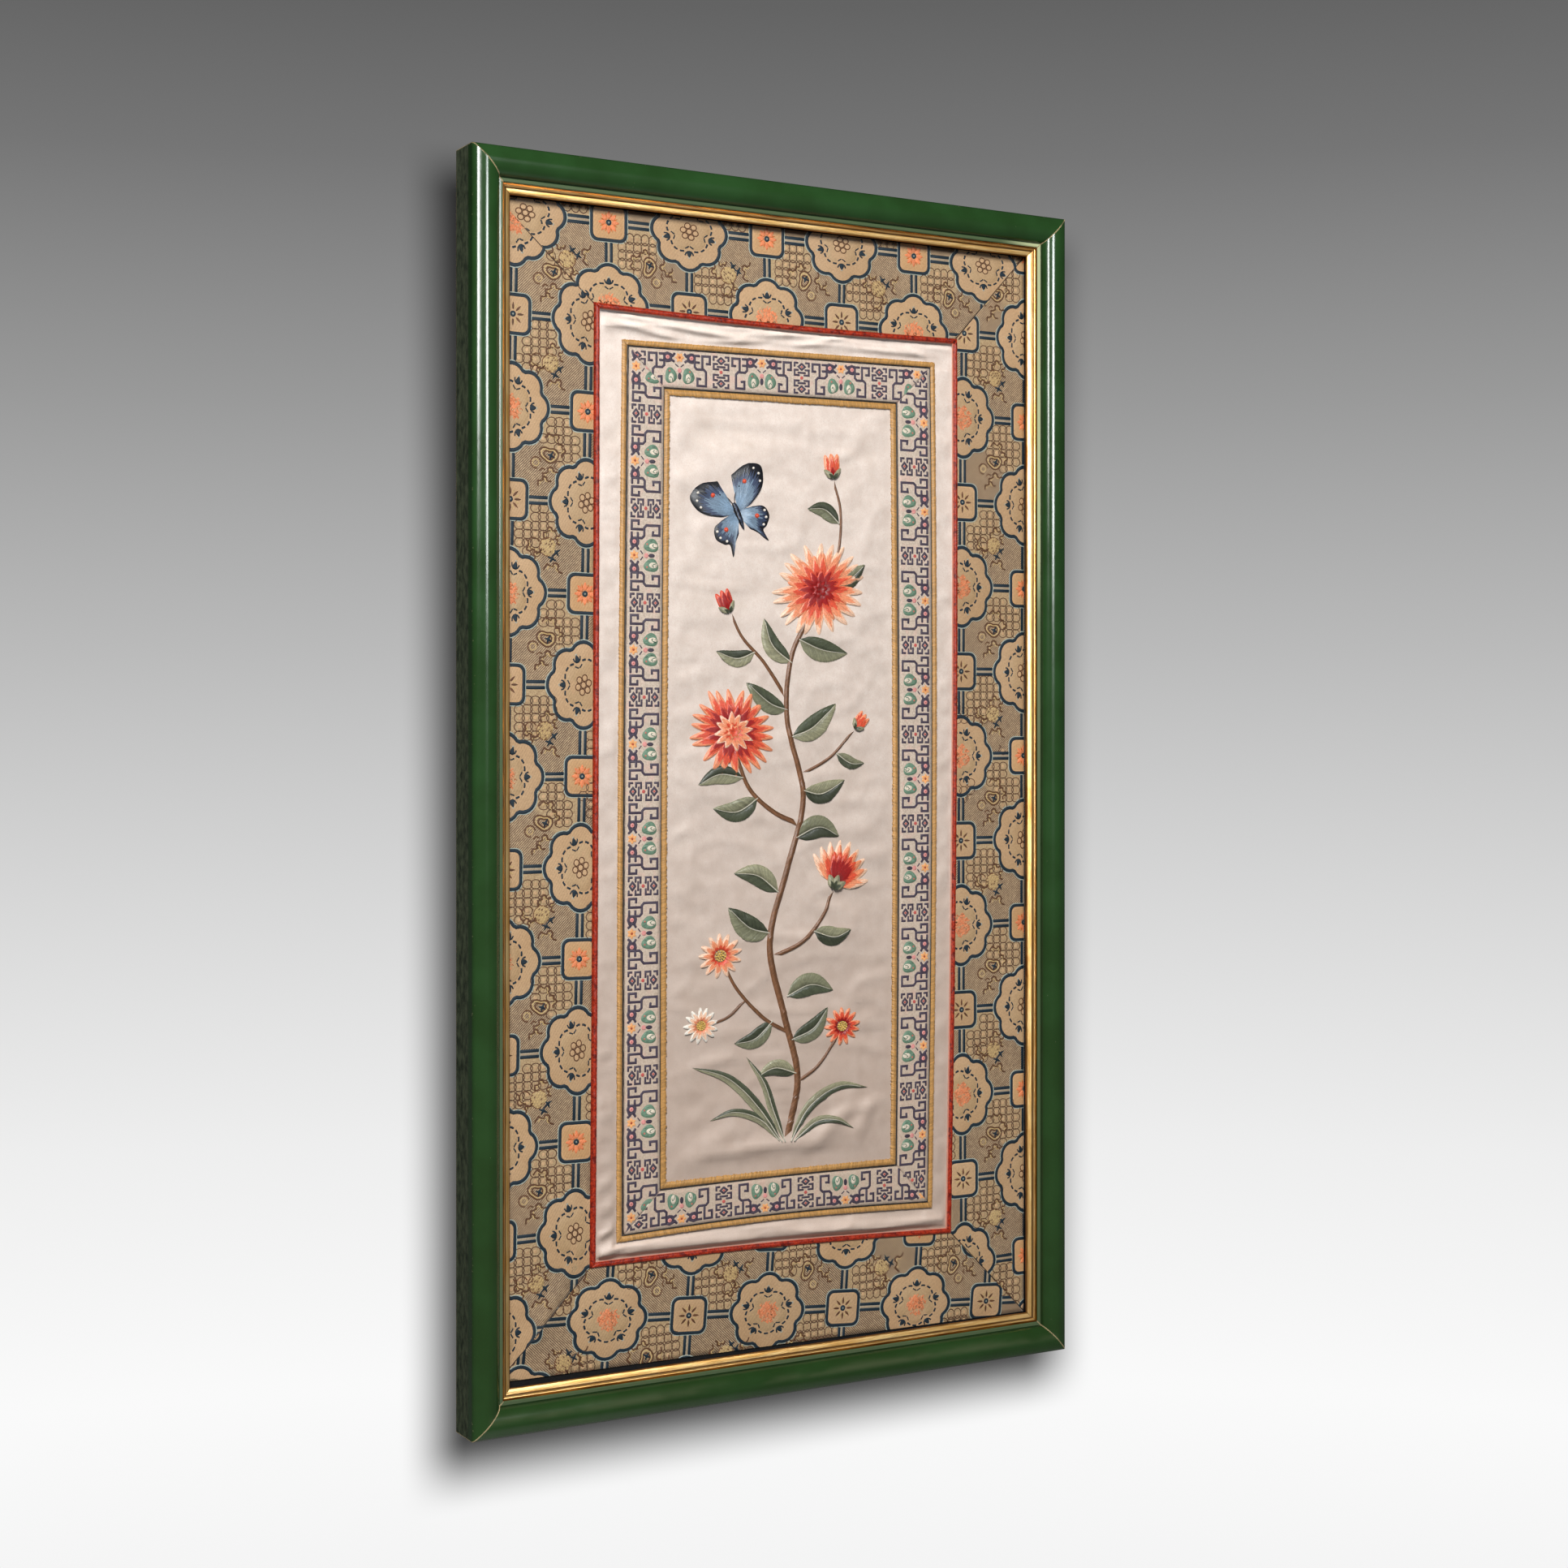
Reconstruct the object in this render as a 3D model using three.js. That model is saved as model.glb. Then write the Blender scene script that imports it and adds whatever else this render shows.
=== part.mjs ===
// A framed silk embroidery panel. A satin panel, bordered by a patterned ribbon between two gold
// braids and by a red piping, lies in a brocade surround on a backing board. A gilt slip and a
// painted half-round frame with mitred corners hold the board.
//
// Millimetres. X is to the right seen from the front, Z is up and the front faces -Y.
// The origin is the middle of the back, where the panel lies against its wall.
import * as THREE from 'three';

// The frame, measured over its outer edges, and the space kept between two pieces.
const FRAME_WIDTH = 400;
const FRAME_HEIGHT = 711;
const GAP = 0.3;

// The painted rail's section. Insets run inwards from the outer edge, and levels run from the
// back of the frame towards the viewer. Each row is one curve of the face, from where the last
// one ended: the point it bends towards, and its end.
const SHOULDER_LEVEL = 22.2;
const RAIL_FACE = [
  { bendInset: 0.05, bendLevel: 24.15, inset: 2.4, level: 25.3 },
  { bendInset: 5.89, bendLevel: 27.0, inset: 8.1, level: 27.0 },
  { bendInset: 12.2, bendLevel: 27.0, inset: 15.2, level: 23.9 },
  { bendInset: 16.15, bendLevel: 22.92, inset: 16.9, level: 20.8 },
];
const FILLET_LEVEL = 20.9;
const FILLET_INSET = 17.2;
const FILLET_ROUND = 0.5;
const LIP_INSET = 19.3;
const LIP_BACK_LEVEL = 19.7;
const REBATE_INSET = 15;

// The gilt slip's section, in the same terms. Its foot stands on the board's edge, clear of the
// cloth, and its face is a small bead beside the rail and a slope down to the sight edge.
const SLIP_TOP_LEVEL = LIP_BACK_LEVEL - GAP;
const SLIP_FLAT_INSET = 20.0;
const SLIP_FACE = [
  { bendInset: 20.8, bendLevel: 19.4, inset: 21.1, level: 18.5 },
  { bendInset: 21.5, bendLevel: 18.1, inset: 21.9, level: 17.9 },
  { bendInset: 24.8, bendLevel: 17.5, inset: 25.0, level: 16.6 },
];
const SLIP_NOSE_INSET = 24.6;
const SLIP_FOOT_INSET = 17.6;
const SLIP_BACK_LEVEL = 15.2;
const CURVE_STEPS = 8;

// Levels of the layers on the board.
const BOARD_FRONT = 8.7;
const CLOTH_BACK = BOARD_FRONT + GAP;
const CLOTH_FRONT = 10;
const TRIM_BACK = CLOTH_FRONT + GAP;
const RIBBON_FRONT = TRIM_BACK + 1.0;
const BRAID_EDGE = TRIM_BACK + 0.9;
const BRAID_CROWN = 0.4;
const PIPING_EDGE = TRIM_BACK + 0.6;
const PIPING_CROWN = 1.2;

// Outlines of the cloths, which were laid by hand and aren't quite square. Corners are [x, z],
// clockwise from the top left. A bow is how far a side's middle stands out of its straight line,
// in the order top, right, bottom, left.
const BROCADE_OUTLINE = {
  corners: [[-181, 331], [178, 331.4], [177.6, -331.6], [-180, -328.6]],
  bows: [0, 0.8, 0, 0],
};
const PIPING_OUTLINE = {
  corners: [[-120.7, 276.9], [126.9, 276.1], [122.3, -276.6], [-123.3, -271.2]],
  bows: [-1.7, 2.0, -1.8, -0.6],
};
const BORDER_OUTLINE = {
  corners: [[-103.1, 257.4], [110.8, 260.4], [108.8, -259.8], [-106.6, -258.7]],
  bows: [0, 2.4, -3.0, 0.8],
};
const FIELD_OUTLINE = {
  corners: [[-72.5, 227.5], [78.7, 229.4], [78.7, -227.1], [-75, -227.1]],
  bows: [0, 1.5, -0.4, 0.6],
};
const PIPING_WIDTH = 3.6;
const PIPING_COVER = 1.2; // how far the piping laps over the cloth on each side of it

// Shares of the border's width, from its outer edge: a braid, the ribbon and the other braid.
const OUTER_BRAID_SHARE = [0, 0.138];
const RIBBON_SHARE = [0.148, 0.860];
const INNER_BRAID_SHARE = [0.870, 1];

// Soft folds of the satin between piping and border, and in its middle. Each is a long low ridge
// with its middle, its half length and half width, its height and its slope in degrees.
const SATIN_FOLDS = [
  { x: -92, z: 264.6, long: 20, wide: 2.0, height: 1.5, slope: -6 },
  { x: -52, z: 265.6, long: 22, wide: 1.8, height: 1.9, slope: -4 },
  { x: -22, z: 262.4, long: 16, wide: 1.8, height: 0.9, slope: 6 },
  { x: 0, z: 267.9, long: 20, wide: 1.9, height: 1.4, slope: 5 },
  { x: 36, z: 268.4, long: 14, wide: 1.9, height: 1.2, slope: 14 },
  { x: 74, z: 264.4, long: 24, wide: 1.9, height: 1.5, slope: 0 },
  { x: -66, z: -262.8, long: 46, wide: 2.7, height: 2.0, slope: -1 },
  { x: 44, z: -264.6, long: 52, wide: 2.9, height: 2.1, slope: -1.8 },
  { x: -112, z: -262, long: 10, wide: 2.4, height: 1.3, slope: 20 },
  { x: -113, z: -252, long: 8, wide: 2.6, height: 1.2, slope: 28 },
  { x: -113, z: -224, long: 8, wide: 3.0, height: 0.8, slope: 25 },
  { x: 114, z: -246, long: 7, wide: 3.0, height: 0.7, slope: -20 },
  { x: -30, z: 190, long: 34, wide: 12, height: 0.5, slope: 10 },
  { x: 34, z: 92, long: 40, wide: 10, height: 0.5, slope: -14 },
  { x: -36, z: 8, long: 30, wide: 12, height: 0.6, slope: 22 },
  { x: 30, z: -92, long: 34, wide: 12, height: 0.5, slope: 12 },
  { x: 4, z: -208, long: 60, wide: 8, height: 0.9, slope: 3 },
];

// Puckers of the brocade beside its mitred seams.
const BROCADE_FOLDS = [
  { x: -147, z: -289, long: 22, wide: 4.5, height: 1.6, slope: 58 },
  { x: -158, z: -309, long: 9, wide: 4, height: 0.8, slope: 40 },
  { x: 160, z: -298, long: 12, wide: 6, height: 0.6, slope: -30 },
  { x: 30, z: 302, long: 60, wide: 9, height: 0.5, slope: 2 },
  { x: -148, z: 40, long: 10, wide: 60, height: 0.4, slope: 0 },
  { x: 152, z: -40, long: 9, wide: 70, height: 0.4, slope: 0 },
];
const FOLD_CLEARANCE = 1.6; // a fold keeps this far from any trim that lies on the cloth
const MARGIN_RISE = 2.5; // and reaches its full height over this much more cloth in the margins
const FIELD_RISE = 12;
const BROCADE_RISE = 4;

// Steps of the cloth grids. The satin has its rows and columns close together in the margins.
const BROCADE_STEPS = { across: 20, upright: 34, rows: 6 };
const TRIM_STEPS = { piping: 14, band: 10 };
const SATIN_COLUMNS = [{ to: 0.075, steps: 6 }, { to: 0.925, steps: 14 }, { to: 1, steps: 6 }];
const SATIN_ROWS = [{ to: 0.036, steps: 12 }, { to: 0.962, steps: 26 }, { to: 1, steps: 12 }];

const SIDE_NAMES = ['top', 'right', 'bottom', 'left'];

const FINISHES = {
  paint: { color: 0x27512b, roughness: 0.32, metalness: 0 },
  gilt: { color: 0xb98a3c, roughness: 0.42, metalness: 0.7 },
  board: { color: 0x17171a, roughness: 0.9, metalness: 0 },
  brocade: { color: 0xbfa682, roughness: 0.75, metalness: 0 },
  piping: { color: 0xb8301f, roughness: 0.5, metalness: 0 },
  satin: { color: 0xe4d8cc, roughness: 0.45, metalness: 0 },
  ribbon: { color: 0xb9a9a0, roughness: 0.6, metalness: 0 },
  braid: { color: 0xd9a355, roughness: 0.5, metalness: 0.1 },
};

const panel = new THREE.Group();

function addPiece(name, geometry, finish) {
  const material = new THREE.MeshStandardMaterial(FINISHES[finish]);
  const mesh = new THREE.Mesh(geometry, material);
  mesh.name = name;
  panel.add(mesh);
}

function mix(a, b, share) {
  return a + (b - a) * share;
}

function smoothStep(value) {
  const t = Math.min(1, Math.max(0, value));
  return t * t * (3 - 2 * t);
}

// A point of the part from its place seen from the front and its level above the back.
function pointAt(x, z, level) {
  return [x, -level, z];
}

// Builds a closed geometry from points and triangles, turned so that its faces point out.
function closedGeometry(points, triangles) {
  let volume = 0;
  for (const [a, b, c] of triangles) {
    const [p, q, r] = [points[a], points[b], points[c]];
    volume += p[0] * (q[1] * r[2] - q[2] * r[1]);
    volume += p[1] * (q[2] * r[0] - q[0] * r[2]);
    volume += p[2] * (q[0] * r[1] - q[1] * r[0]);
  }
  const faces = volume > 0 ? triangles : triangles.map(([a, b, c]) => [a, c, b]);
  const geometry = new THREE.BufferGeometry();
  geometry.setAttribute('position', new THREE.Float32BufferAttribute(points.flat(), 3));
  geometry.setIndex(faces.flat());
  geometry.computeVertexNormals();
  return geometry;
}

// A straight bar of one side of the frame with a section of {inset, level} points and mitred ends.
function mitredBar(section, side) {
  const halfWidth = FRAME_WIDTH / 2;
  const halfHeight = FRAME_HEIGHT / 2;
  const starts = [[-1, 1], [1, 1], [1, -1], [-1, -1]];
  const [sx, sz] = starts[side];
  const [ex, ez] = starts[(side + 1) % 4];
  const along = [Math.sign(ex - sx), Math.sign(ez - sz)];
  const points = [];
  for (const [cornerX, cornerZ, towards] of [[sx, sz, 1], [ex, ez, -1]]) {
    for (const { inset, level } of section) {
      const x = cornerX * (halfWidth - inset) + along[0] * towards * GAP / 2;
      const z = cornerZ * (halfHeight - inset) + along[1] * towards * GAP / 2;
      points.push(pointAt(x, z, level));
    }
  }
  const count = section.length;
  const outline = section.map(({ inset, level }) => new THREE.Vector2(inset, level));
  const cap = THREE.ShapeUtils.triangulateShape(outline, []);
  const triangles = [];
  for (const [a, b, c] of cap) {
    triangles.push([a, b, c], [a + count, c + count, b + count]);
  }
  const turned = THREE.ShapeUtils.isClockWise(outline);
  for (let i = 0; i < count; i += 1) {
    const next = (i + 1) % count;
    const [a, b] = turned ? [i, next] : [next, i];
    triangles.push([a, b, b + count], [a, b + count, a + count]);
  }
  return closedGeometry(points, triangles);
}

function addCurves(shape, rows) {
  for (const { bendInset, bendLevel, inset, level } of rows) {
    shape.quadraticCurveTo(bendInset, bendLevel, inset, level);
  }
}

function sectionOf(shape) {
  return shape.getPoints(CURVE_STEPS).map((point) => ({ inset: point.x, level: point.y }));
}

// The rail: a flat side, a half-round face that falls to a narrow fillet, and a rebate behind it.
function railSection() {
  const shape = new THREE.Shape();
  shape.moveTo(0, 0);
  shape.lineTo(0, SHOULDER_LEVEL);
  addCurves(shape, RAIL_FACE);
  shape.lineTo(FILLET_INSET, FILLET_LEVEL);
  shape.lineTo(LIP_INSET - FILLET_ROUND, FILLET_LEVEL);
  shape.lineTo(LIP_INSET, FILLET_LEVEL - FILLET_ROUND);
  shape.lineTo(LIP_INSET, LIP_BACK_LEVEL);
  shape.lineTo(REBATE_INSET, LIP_BACK_LEVEL);
  shape.lineTo(REBATE_INSET, 0);
  return sectionOf(shape);
}

// The slip: a face that falls to a rounded sight edge, and a foot behind the rail's lip.
function slipSection() {
  const shape = new THREE.Shape();
  shape.moveTo(REBATE_INSET + GAP, CLOTH_BACK);
  shape.lineTo(REBATE_INSET + GAP, SLIP_TOP_LEVEL);
  shape.lineTo(SLIP_FLAT_INSET, SLIP_TOP_LEVEL);
  addCurves(shape, SLIP_FACE);
  shape.lineTo(SLIP_NOSE_INSET, SLIP_BACK_LEVEL);
  shape.lineTo(SLIP_FOOT_INSET, SLIP_BACK_LEVEL);
  shape.lineTo(SLIP_FOOT_INSET, CLOTH_BACK);
  return sectionOf(shape);
}

// The point on one side of an outline, with share running from the side's start to its end.
function sidePoint(outline, side, share) {
  const [x0, z0] = outline.corners[side];
  const [x1, z1] = outline.corners[(side + 1) % 4];
  const length = Math.hypot(x1 - x0, z1 - z0);
  const bow = outline.bows[side] * Math.sin(Math.PI * share);
  const outward = [-(z1 - z0) / length, (x1 - x0) / length];
  return [mix(x0, x1, share) + outward[0] * bow, mix(z0, z1, share) + outward[1] * bow];
}

// The outline at a share of the way from an outer outline to an inner one.
function outlineBetween(outer, inner, share) {
  return {
    corners: outer.corners.map(([x, z], i) => [
      mix(x, inner.corners[i][0], share),
      mix(z, inner.corners[i][1], share),
    ]),
    bows: outer.bows.map((bow, i) => mix(bow, inner.bows[i], share)),
  };
}

// The outline moved inwards on all sides.
function outlineInset(outline, inset) {
  const corners = outline.corners.map(([x, z]) => [x - Math.sign(x) * inset, z - Math.sign(z) * inset]);
  return { corners, bows: outline.bows };
}

// How far a point lies inside an outline, or outside it where the answer is negative.
function insetOf(outline, x, z) {
  let least = Infinity;
  for (let side = 0; side < 4; side += 1) {
    const [x0, z0] = outline.corners[side];
    const [x1, z1] = outline.corners[(side + 1) % 4];
    const length = Math.hypot(x1 - x0, z1 - z0);
    const [ux, uz] = [(x1 - x0) / length, (z1 - z0) / length];
    const share = Math.min(1, Math.max(0, ((x - x0) * ux + (z - z0) * uz) / length));
    const inward = (x - x0) * uz - (z - z0) * ux;
    least = Math.min(least, inward + outline.bows[side] * Math.sin(Math.PI * share));
  }
  return least;
}

// The height that a table of folds gives at a point.
function foldHeight(folds, x, z) {
  let height = 0;
  for (const fold of folds) {
    const angle = THREE.MathUtils.degToRad(fold.slope);
    const along = (x - fold.x) * Math.cos(angle) + (z - fold.z) * Math.sin(angle);
    const across = (z - fold.z) * Math.cos(angle) - (x - fold.x) * Math.sin(angle);
    height += fold.height * Math.exp(-((along / fold.long) ** 2) - (across / fold.wide) ** 2);
  }
  return height;
}

// A closed slab over a grid of places, with a front and a back level at each of them.
function slab(columnShares, rowShares, placeAt, frontAt, backAt) {
  const points = [];
  const fronts = [];
  const backs = [];
  for (const v of rowShares) {
    const frontRow = [];
    const backRow = [];
    for (const u of columnShares) {
      const [x, z] = placeAt(u, v);
      frontRow.push(points.push(pointAt(x, z, frontAt(x, z, v))) - 1);
      backRow.push(points.push(pointAt(x, z, backAt(x, z, v))) - 1);
    }
    fronts.push(frontRow);
    backs.push(backRow);
  }
  const triangles = [];
  const addQuad = (a, b, c, d) => triangles.push([a, b, c], [a, c, d]);
  const lastRow = rowShares.length - 1;
  const lastColumn = columnShares.length - 1;
  for (let row = 0; row < lastRow; row += 1) {
    for (let column = 0; column < lastColumn; column += 1) {
      const next = column + 1;
      addQuad(fronts[row][column], fronts[row][next], fronts[row + 1][next], fronts[row + 1][column]);
      addQuad(backs[row][column], backs[row + 1][column], backs[row + 1][next], backs[row][next]);
    }
  }
  for (let column = 0; column < lastColumn; column += 1) {
    const next = column + 1;
    addQuad(fronts[0][next], fronts[0][column], backs[0][column], backs[0][next]);
    addQuad(fronts[lastRow][column], fronts[lastRow][next], backs[lastRow][next], backs[lastRow][column]);
  }
  for (let row = 0; row < lastRow; row += 1) {
    const next = row + 1;
    addQuad(fronts[row][0], fronts[next][0], backs[next][0], backs[row][0]);
    addQuad(
      fronts[next][lastColumn], fronts[row][lastColumn], backs[row][lastColumn], backs[next][lastColumn],
    );
  }
  return closedGeometry(points, triangles);
}

function evenShares(steps) {
  return Array.from({ length: steps + 1 }, (_, i) => i / steps);
}

// Shares from 0 to 1 in runs, each with the share it ends at and its number of steps.
function sharesInRuns(runs) {
  const shares = [0];
  let from = 0;
  for (const { to, steps } of runs) {
    for (let i = 1; i <= steps; i += 1) shares.push(mix(from, to, i / steps));
    from = to;
  }
  return shares;
}

// One side of a border between two outlines, mitred at both ends.
function borderSide(outer, inner, side, shape) {
  const { steps, rows, frontAt, backAt } = shape;
  const [x0, z0] = outer.corners[side];
  const [x1, z1] = outer.corners[(side + 1) % 4];
  const endGap = GAP / 2 / Math.hypot(x1 - x0, z1 - z0);
  const placeAt = (u, v) => {
    const share = mix(endGap, 1 - endGap, u);
    const [ax, az] = sidePoint(outer, side, share);
    const [bx, bz] = sidePoint(inner, side, share);
    return [mix(ax, bx, v), mix(az, bz, v)];
  };
  return slab(evenShares(steps), evenShares(rows), placeAt, frontAt, backAt);
}

// A rounded trim's level: its edge level plus a crown that is highest in the middle of its width.
function crowned(edgeLevel, crown) {
  return (x, z, v) => edgeLevel + crown * Math.sqrt(Math.max(0, 1 - (2 * v - 1) ** 2));
}

const pipingInner = outlineInset(PIPING_OUTLINE, PIPING_WIDTH);
const coverShare = PIPING_COVER / PIPING_WIDTH;
const brocadeInner = outlineBetween(PIPING_OUTLINE, pipingInner, coverShare);
const satinOutline = outlineBetween(PIPING_OUTLINE, pipingInner, 1 - coverShare);

// How much of a fold's height is left at a point of the satin, none of it under the trims.
function satinRoom(x, z) {
  const fromPiping = insetOf(pipingInner, x, z);
  const fromBorder = -insetOf(BORDER_OUTLINE, x, z);
  const margin = smoothStep((Math.min(fromPiping, fromBorder) - FOLD_CLEARANCE) / MARGIN_RISE);
  const field = smoothStep((insetOf(FIELD_OUTLINE, x, z) - FOLD_CLEARANCE) / FIELD_RISE);
  return Math.max(margin, field);
}

function brocadeRoom(x, z) {
  const fromPiping = -insetOf(PIPING_OUTLINE, x, z);
  const fromEdge = insetOf(BROCADE_OUTLINE, x, z);
  return smoothStep((Math.min(fromPiping, fromEdge) - FOLD_CLEARANCE) / BROCADE_RISE);
}

function buildFrame() {
  const rail = railSection();
  const slip = slipSection();
  SIDE_NAMES.forEach((name, side) => {
    addPiece(`rail_${name}`, mitredBar(rail, side), 'paint');
    addPiece(`slip_${name}`, mitredBar(slip, side), 'gilt');
  });
}

function buildBoard() {
  const width = FRAME_WIDTH - 2 * (REBATE_INSET + GAP);
  const height = FRAME_HEIGHT - 2 * (REBATE_INSET + GAP);
  const geometry = new THREE.BoxGeometry(width, BOARD_FRONT, height);
  geometry.translate(0, -BOARD_FRONT / 2, 0);
  addPiece('backing_board', geometry, 'board');
}

function buildBrocade() {
  const lift = (x, z) => foldHeight(BROCADE_FOLDS, x, z) * brocadeRoom(x, z);
  SIDE_NAMES.forEach((name, side) => {
    const shape = {
      steps: side % 2 === 0 ? BROCADE_STEPS.across : BROCADE_STEPS.upright,
      rows: BROCADE_STEPS.rows,
      frontAt: (x, z) => CLOTH_FRONT + lift(x, z),
      backAt: (x, z) => CLOTH_BACK + lift(x, z),
    };
    addPiece(`brocade_${name}`, borderSide(BROCADE_OUTLINE, brocadeInner, side, shape), 'brocade');
  });
}

function buildPiping() {
  const shape = {
    steps: TRIM_STEPS.piping,
    rows: 4,
    frontAt: crowned(PIPING_EDGE, PIPING_CROWN),
    backAt: () => TRIM_BACK,
  };
  SIDE_NAMES.forEach((name, side) => {
    addPiece(`piping_${name}`, borderSide(PIPING_OUTLINE, pipingInner, side, shape), 'piping');
  });
}

function buildSatin() {
  const columns = sharesInRuns(SATIN_COLUMNS);
  const rows = sharesInRuns(SATIN_ROWS);
  const placeAt = (u, v) => {
    const [lx, lz] = sidePoint(satinOutline, 3, 1 - v);
    const [rx, rz] = sidePoint(satinOutline, 1, v);
    const [tx, tz] = sidePoint(satinOutline, 0, u);
    const [bx, bz] = sidePoint(satinOutline, 2, 1 - u);
    const [[ax, az], [cx, cz], [dx, dz], [ex, ez]] = satinOutline.corners;
    const x = mix(lx, rx, u) + mix(tx, bx, v) - mix(mix(ax, cx, u), mix(ex, dx, u), v);
    const z = mix(lz, rz, u) + mix(tz, bz, v) - mix(mix(az, cz, u), mix(ez, dz, u), v);
    return [x, z];
  };
  const lift = (x, z) => foldHeight(SATIN_FOLDS, x, z) * satinRoom(x, z);
  const frontAt = (x, z) => CLOTH_FRONT + lift(x, z);
  const backAt = (x, z) => CLOTH_BACK + lift(x, z);
  addPiece('satin_panel', slab(columns, rows, placeAt, frontAt, backAt), 'satin');
}

function buildBorder() {
  const ribbon = {
    steps: TRIM_STEPS.band,
    rows: 1,
    frontAt: () => RIBBON_FRONT,
    backAt: () => TRIM_BACK,
  };
  const braid = {
    steps: TRIM_STEPS.band,
    rows: 2,
    frontAt: crowned(BRAID_EDGE, BRAID_CROWN),
    backAt: () => TRIM_BACK,
  };
  const bands = [
    { name: 'braid_outer', share: OUTER_BRAID_SHARE, shape: braid, finish: 'braid' },
    { name: 'ribbon', share: RIBBON_SHARE, shape: ribbon, finish: 'ribbon' },
    { name: 'braid_inner', share: INNER_BRAID_SHARE, shape: braid, finish: 'braid' },
  ];
  for (const { name, share, shape, finish } of bands) {
    const outer = outlineBetween(BORDER_OUTLINE, FIELD_OUTLINE, share[0]);
    const inner = outlineBetween(BORDER_OUTLINE, FIELD_OUTLINE, share[1]);
    SIDE_NAMES.forEach((sideName, side) => {
      addPiece(`${name}_${sideName}`, borderSide(outer, inner, side, shape), finish);
    });
  }
}

buildFrame();
buildBoard();
buildBrocade();
buildPiping();
buildSatin();
buildBorder();

export default panel;
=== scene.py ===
"""A framed silk embroidery panel: the cloth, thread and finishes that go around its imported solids.

Lengths are in millimetres until a mesh is made. Places are given as seen from the front, x to the
right and z up, and a level is a distance in front of the back."""
import math

import bpy
import numpy as np
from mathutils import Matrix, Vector


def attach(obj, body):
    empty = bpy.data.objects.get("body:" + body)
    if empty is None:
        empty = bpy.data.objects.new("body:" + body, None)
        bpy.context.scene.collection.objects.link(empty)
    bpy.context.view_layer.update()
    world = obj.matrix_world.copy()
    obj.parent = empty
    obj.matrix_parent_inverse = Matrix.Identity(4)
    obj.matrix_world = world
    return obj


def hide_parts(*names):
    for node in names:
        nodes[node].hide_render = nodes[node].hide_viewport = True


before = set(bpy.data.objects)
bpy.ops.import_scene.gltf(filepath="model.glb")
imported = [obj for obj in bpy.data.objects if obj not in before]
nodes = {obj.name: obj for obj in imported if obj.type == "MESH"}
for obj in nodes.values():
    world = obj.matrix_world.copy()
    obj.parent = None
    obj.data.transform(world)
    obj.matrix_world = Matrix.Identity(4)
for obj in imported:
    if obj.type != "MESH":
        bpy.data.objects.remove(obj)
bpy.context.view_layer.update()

SIDES = ("top", "right", "bottom", "left")
TOP, RIGHT, BOTTOM, LEFT = range(4)
UPRIGHT = (RIGHT, LEFT)

# Half the frame's width and height.
HALF_WIDTH = 200
HALF_HEIGHT = 355.5

# Outlines of the cloths, as in the solids: corners clockwise from the top left, and how far the
# middle of each side bows outwards.
BROCADE = {
    "corners": [[-181, 331], [178, 331.4], [177.6, -331.6], [-180, -328.6]],
    "bows": [0, 0.8, 0, 0],
}
PIPING = {
    "corners": [[-120.7, 276.9], [126.9, 276.1], [122.3, -276.6], [-123.3, -271.2]],
    "bows": [-1.7, 2.0, -1.8, -0.6],
}
BORDER = {
    "corners": [[-103.1, 257.4], [110.8, 260.4], [108.8, -259.8], [-106.6, -258.7]],
    "bows": [0, 2.4, -3.0, 0.8],
}
FIELD = {
    "corners": [[-72.5, 227.5], [78.7, 229.4], [78.7, -227.1], [-75, -227.1]],
    "bows": [0, 1.5, -0.4, 0.6],
}
PIPING_WIDTH = 3.6
PIPING_COVER = 1.2
# Shares of the way from BORDER to FIELD.
RIBBON_SHARE = (0.148, 0.860)
# Each braid's two edges, where its gold threads start and end, its cord, and how ragged it is in
# millimetres.
BRAIDS = {
    "outer": ((0.0, 0.138), (0.108, 0.006), 0.126, 0.35),
    "inner": ((0.870, 1.0), (0.892, 1.008), 0.878, 0.6),
}
BRAID_SLANT = 0.9
MITRE_GAP = 0.08

# Levels of the layers on the board.
CLOTH_FRONT = 10.0
CLOTH_THICK = 0.7
RIBBON_FRONT = 11.3
BRAID_LEVEL = 10.25
PIPING_EDGE = 10.9
PIPING_CROWN = 1.2

# Folds: x, z, half length, half width, height and slope in degrees.
SATIN_FOLDS = [
    (-92, 264.6, 20, 2.0, 1.1, -6), (-52, 265.6, 22, 1.8, 1.4, -4),
    (-22, 262.4, 16, 1.8, 0.7, 6), (0, 267.9, 20, 1.9, 1.0, 5), (36, 268.4, 14, 1.9, 0.9, 14),
    (74, 264.4, 24, 1.9, 1.1, 0), (-66, -263.6, 48, 4.2, 1.9, -1.4),
    (44, -265.8, 54, 4.6, 2.1, -1.9), (-112, -263, 10, 3.4, 1.5, 24),
    (-113, -252, 8, 2.6, 1.2, 28), (-113, -224, 8, 3.0, 0.8, 25), (114, -246, 7, 3.0, 0.7, -20),
    (-30, 190, 34, 12, 0.8, 10), (34, 92, 40, 10, 0.7, -14), (-36, 8, 30, 12, 0.9, 22),
    (30, -92, 34, 12, 0.8, 12), (4, -211, 60, 6, 1.0, 3), (36, -203, 17, 5, 1.7, 38),
    (60, -200, 12, 4.5, 1.2, 62), (-44, -206, 22, 6, 0.9, 16),
]
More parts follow.
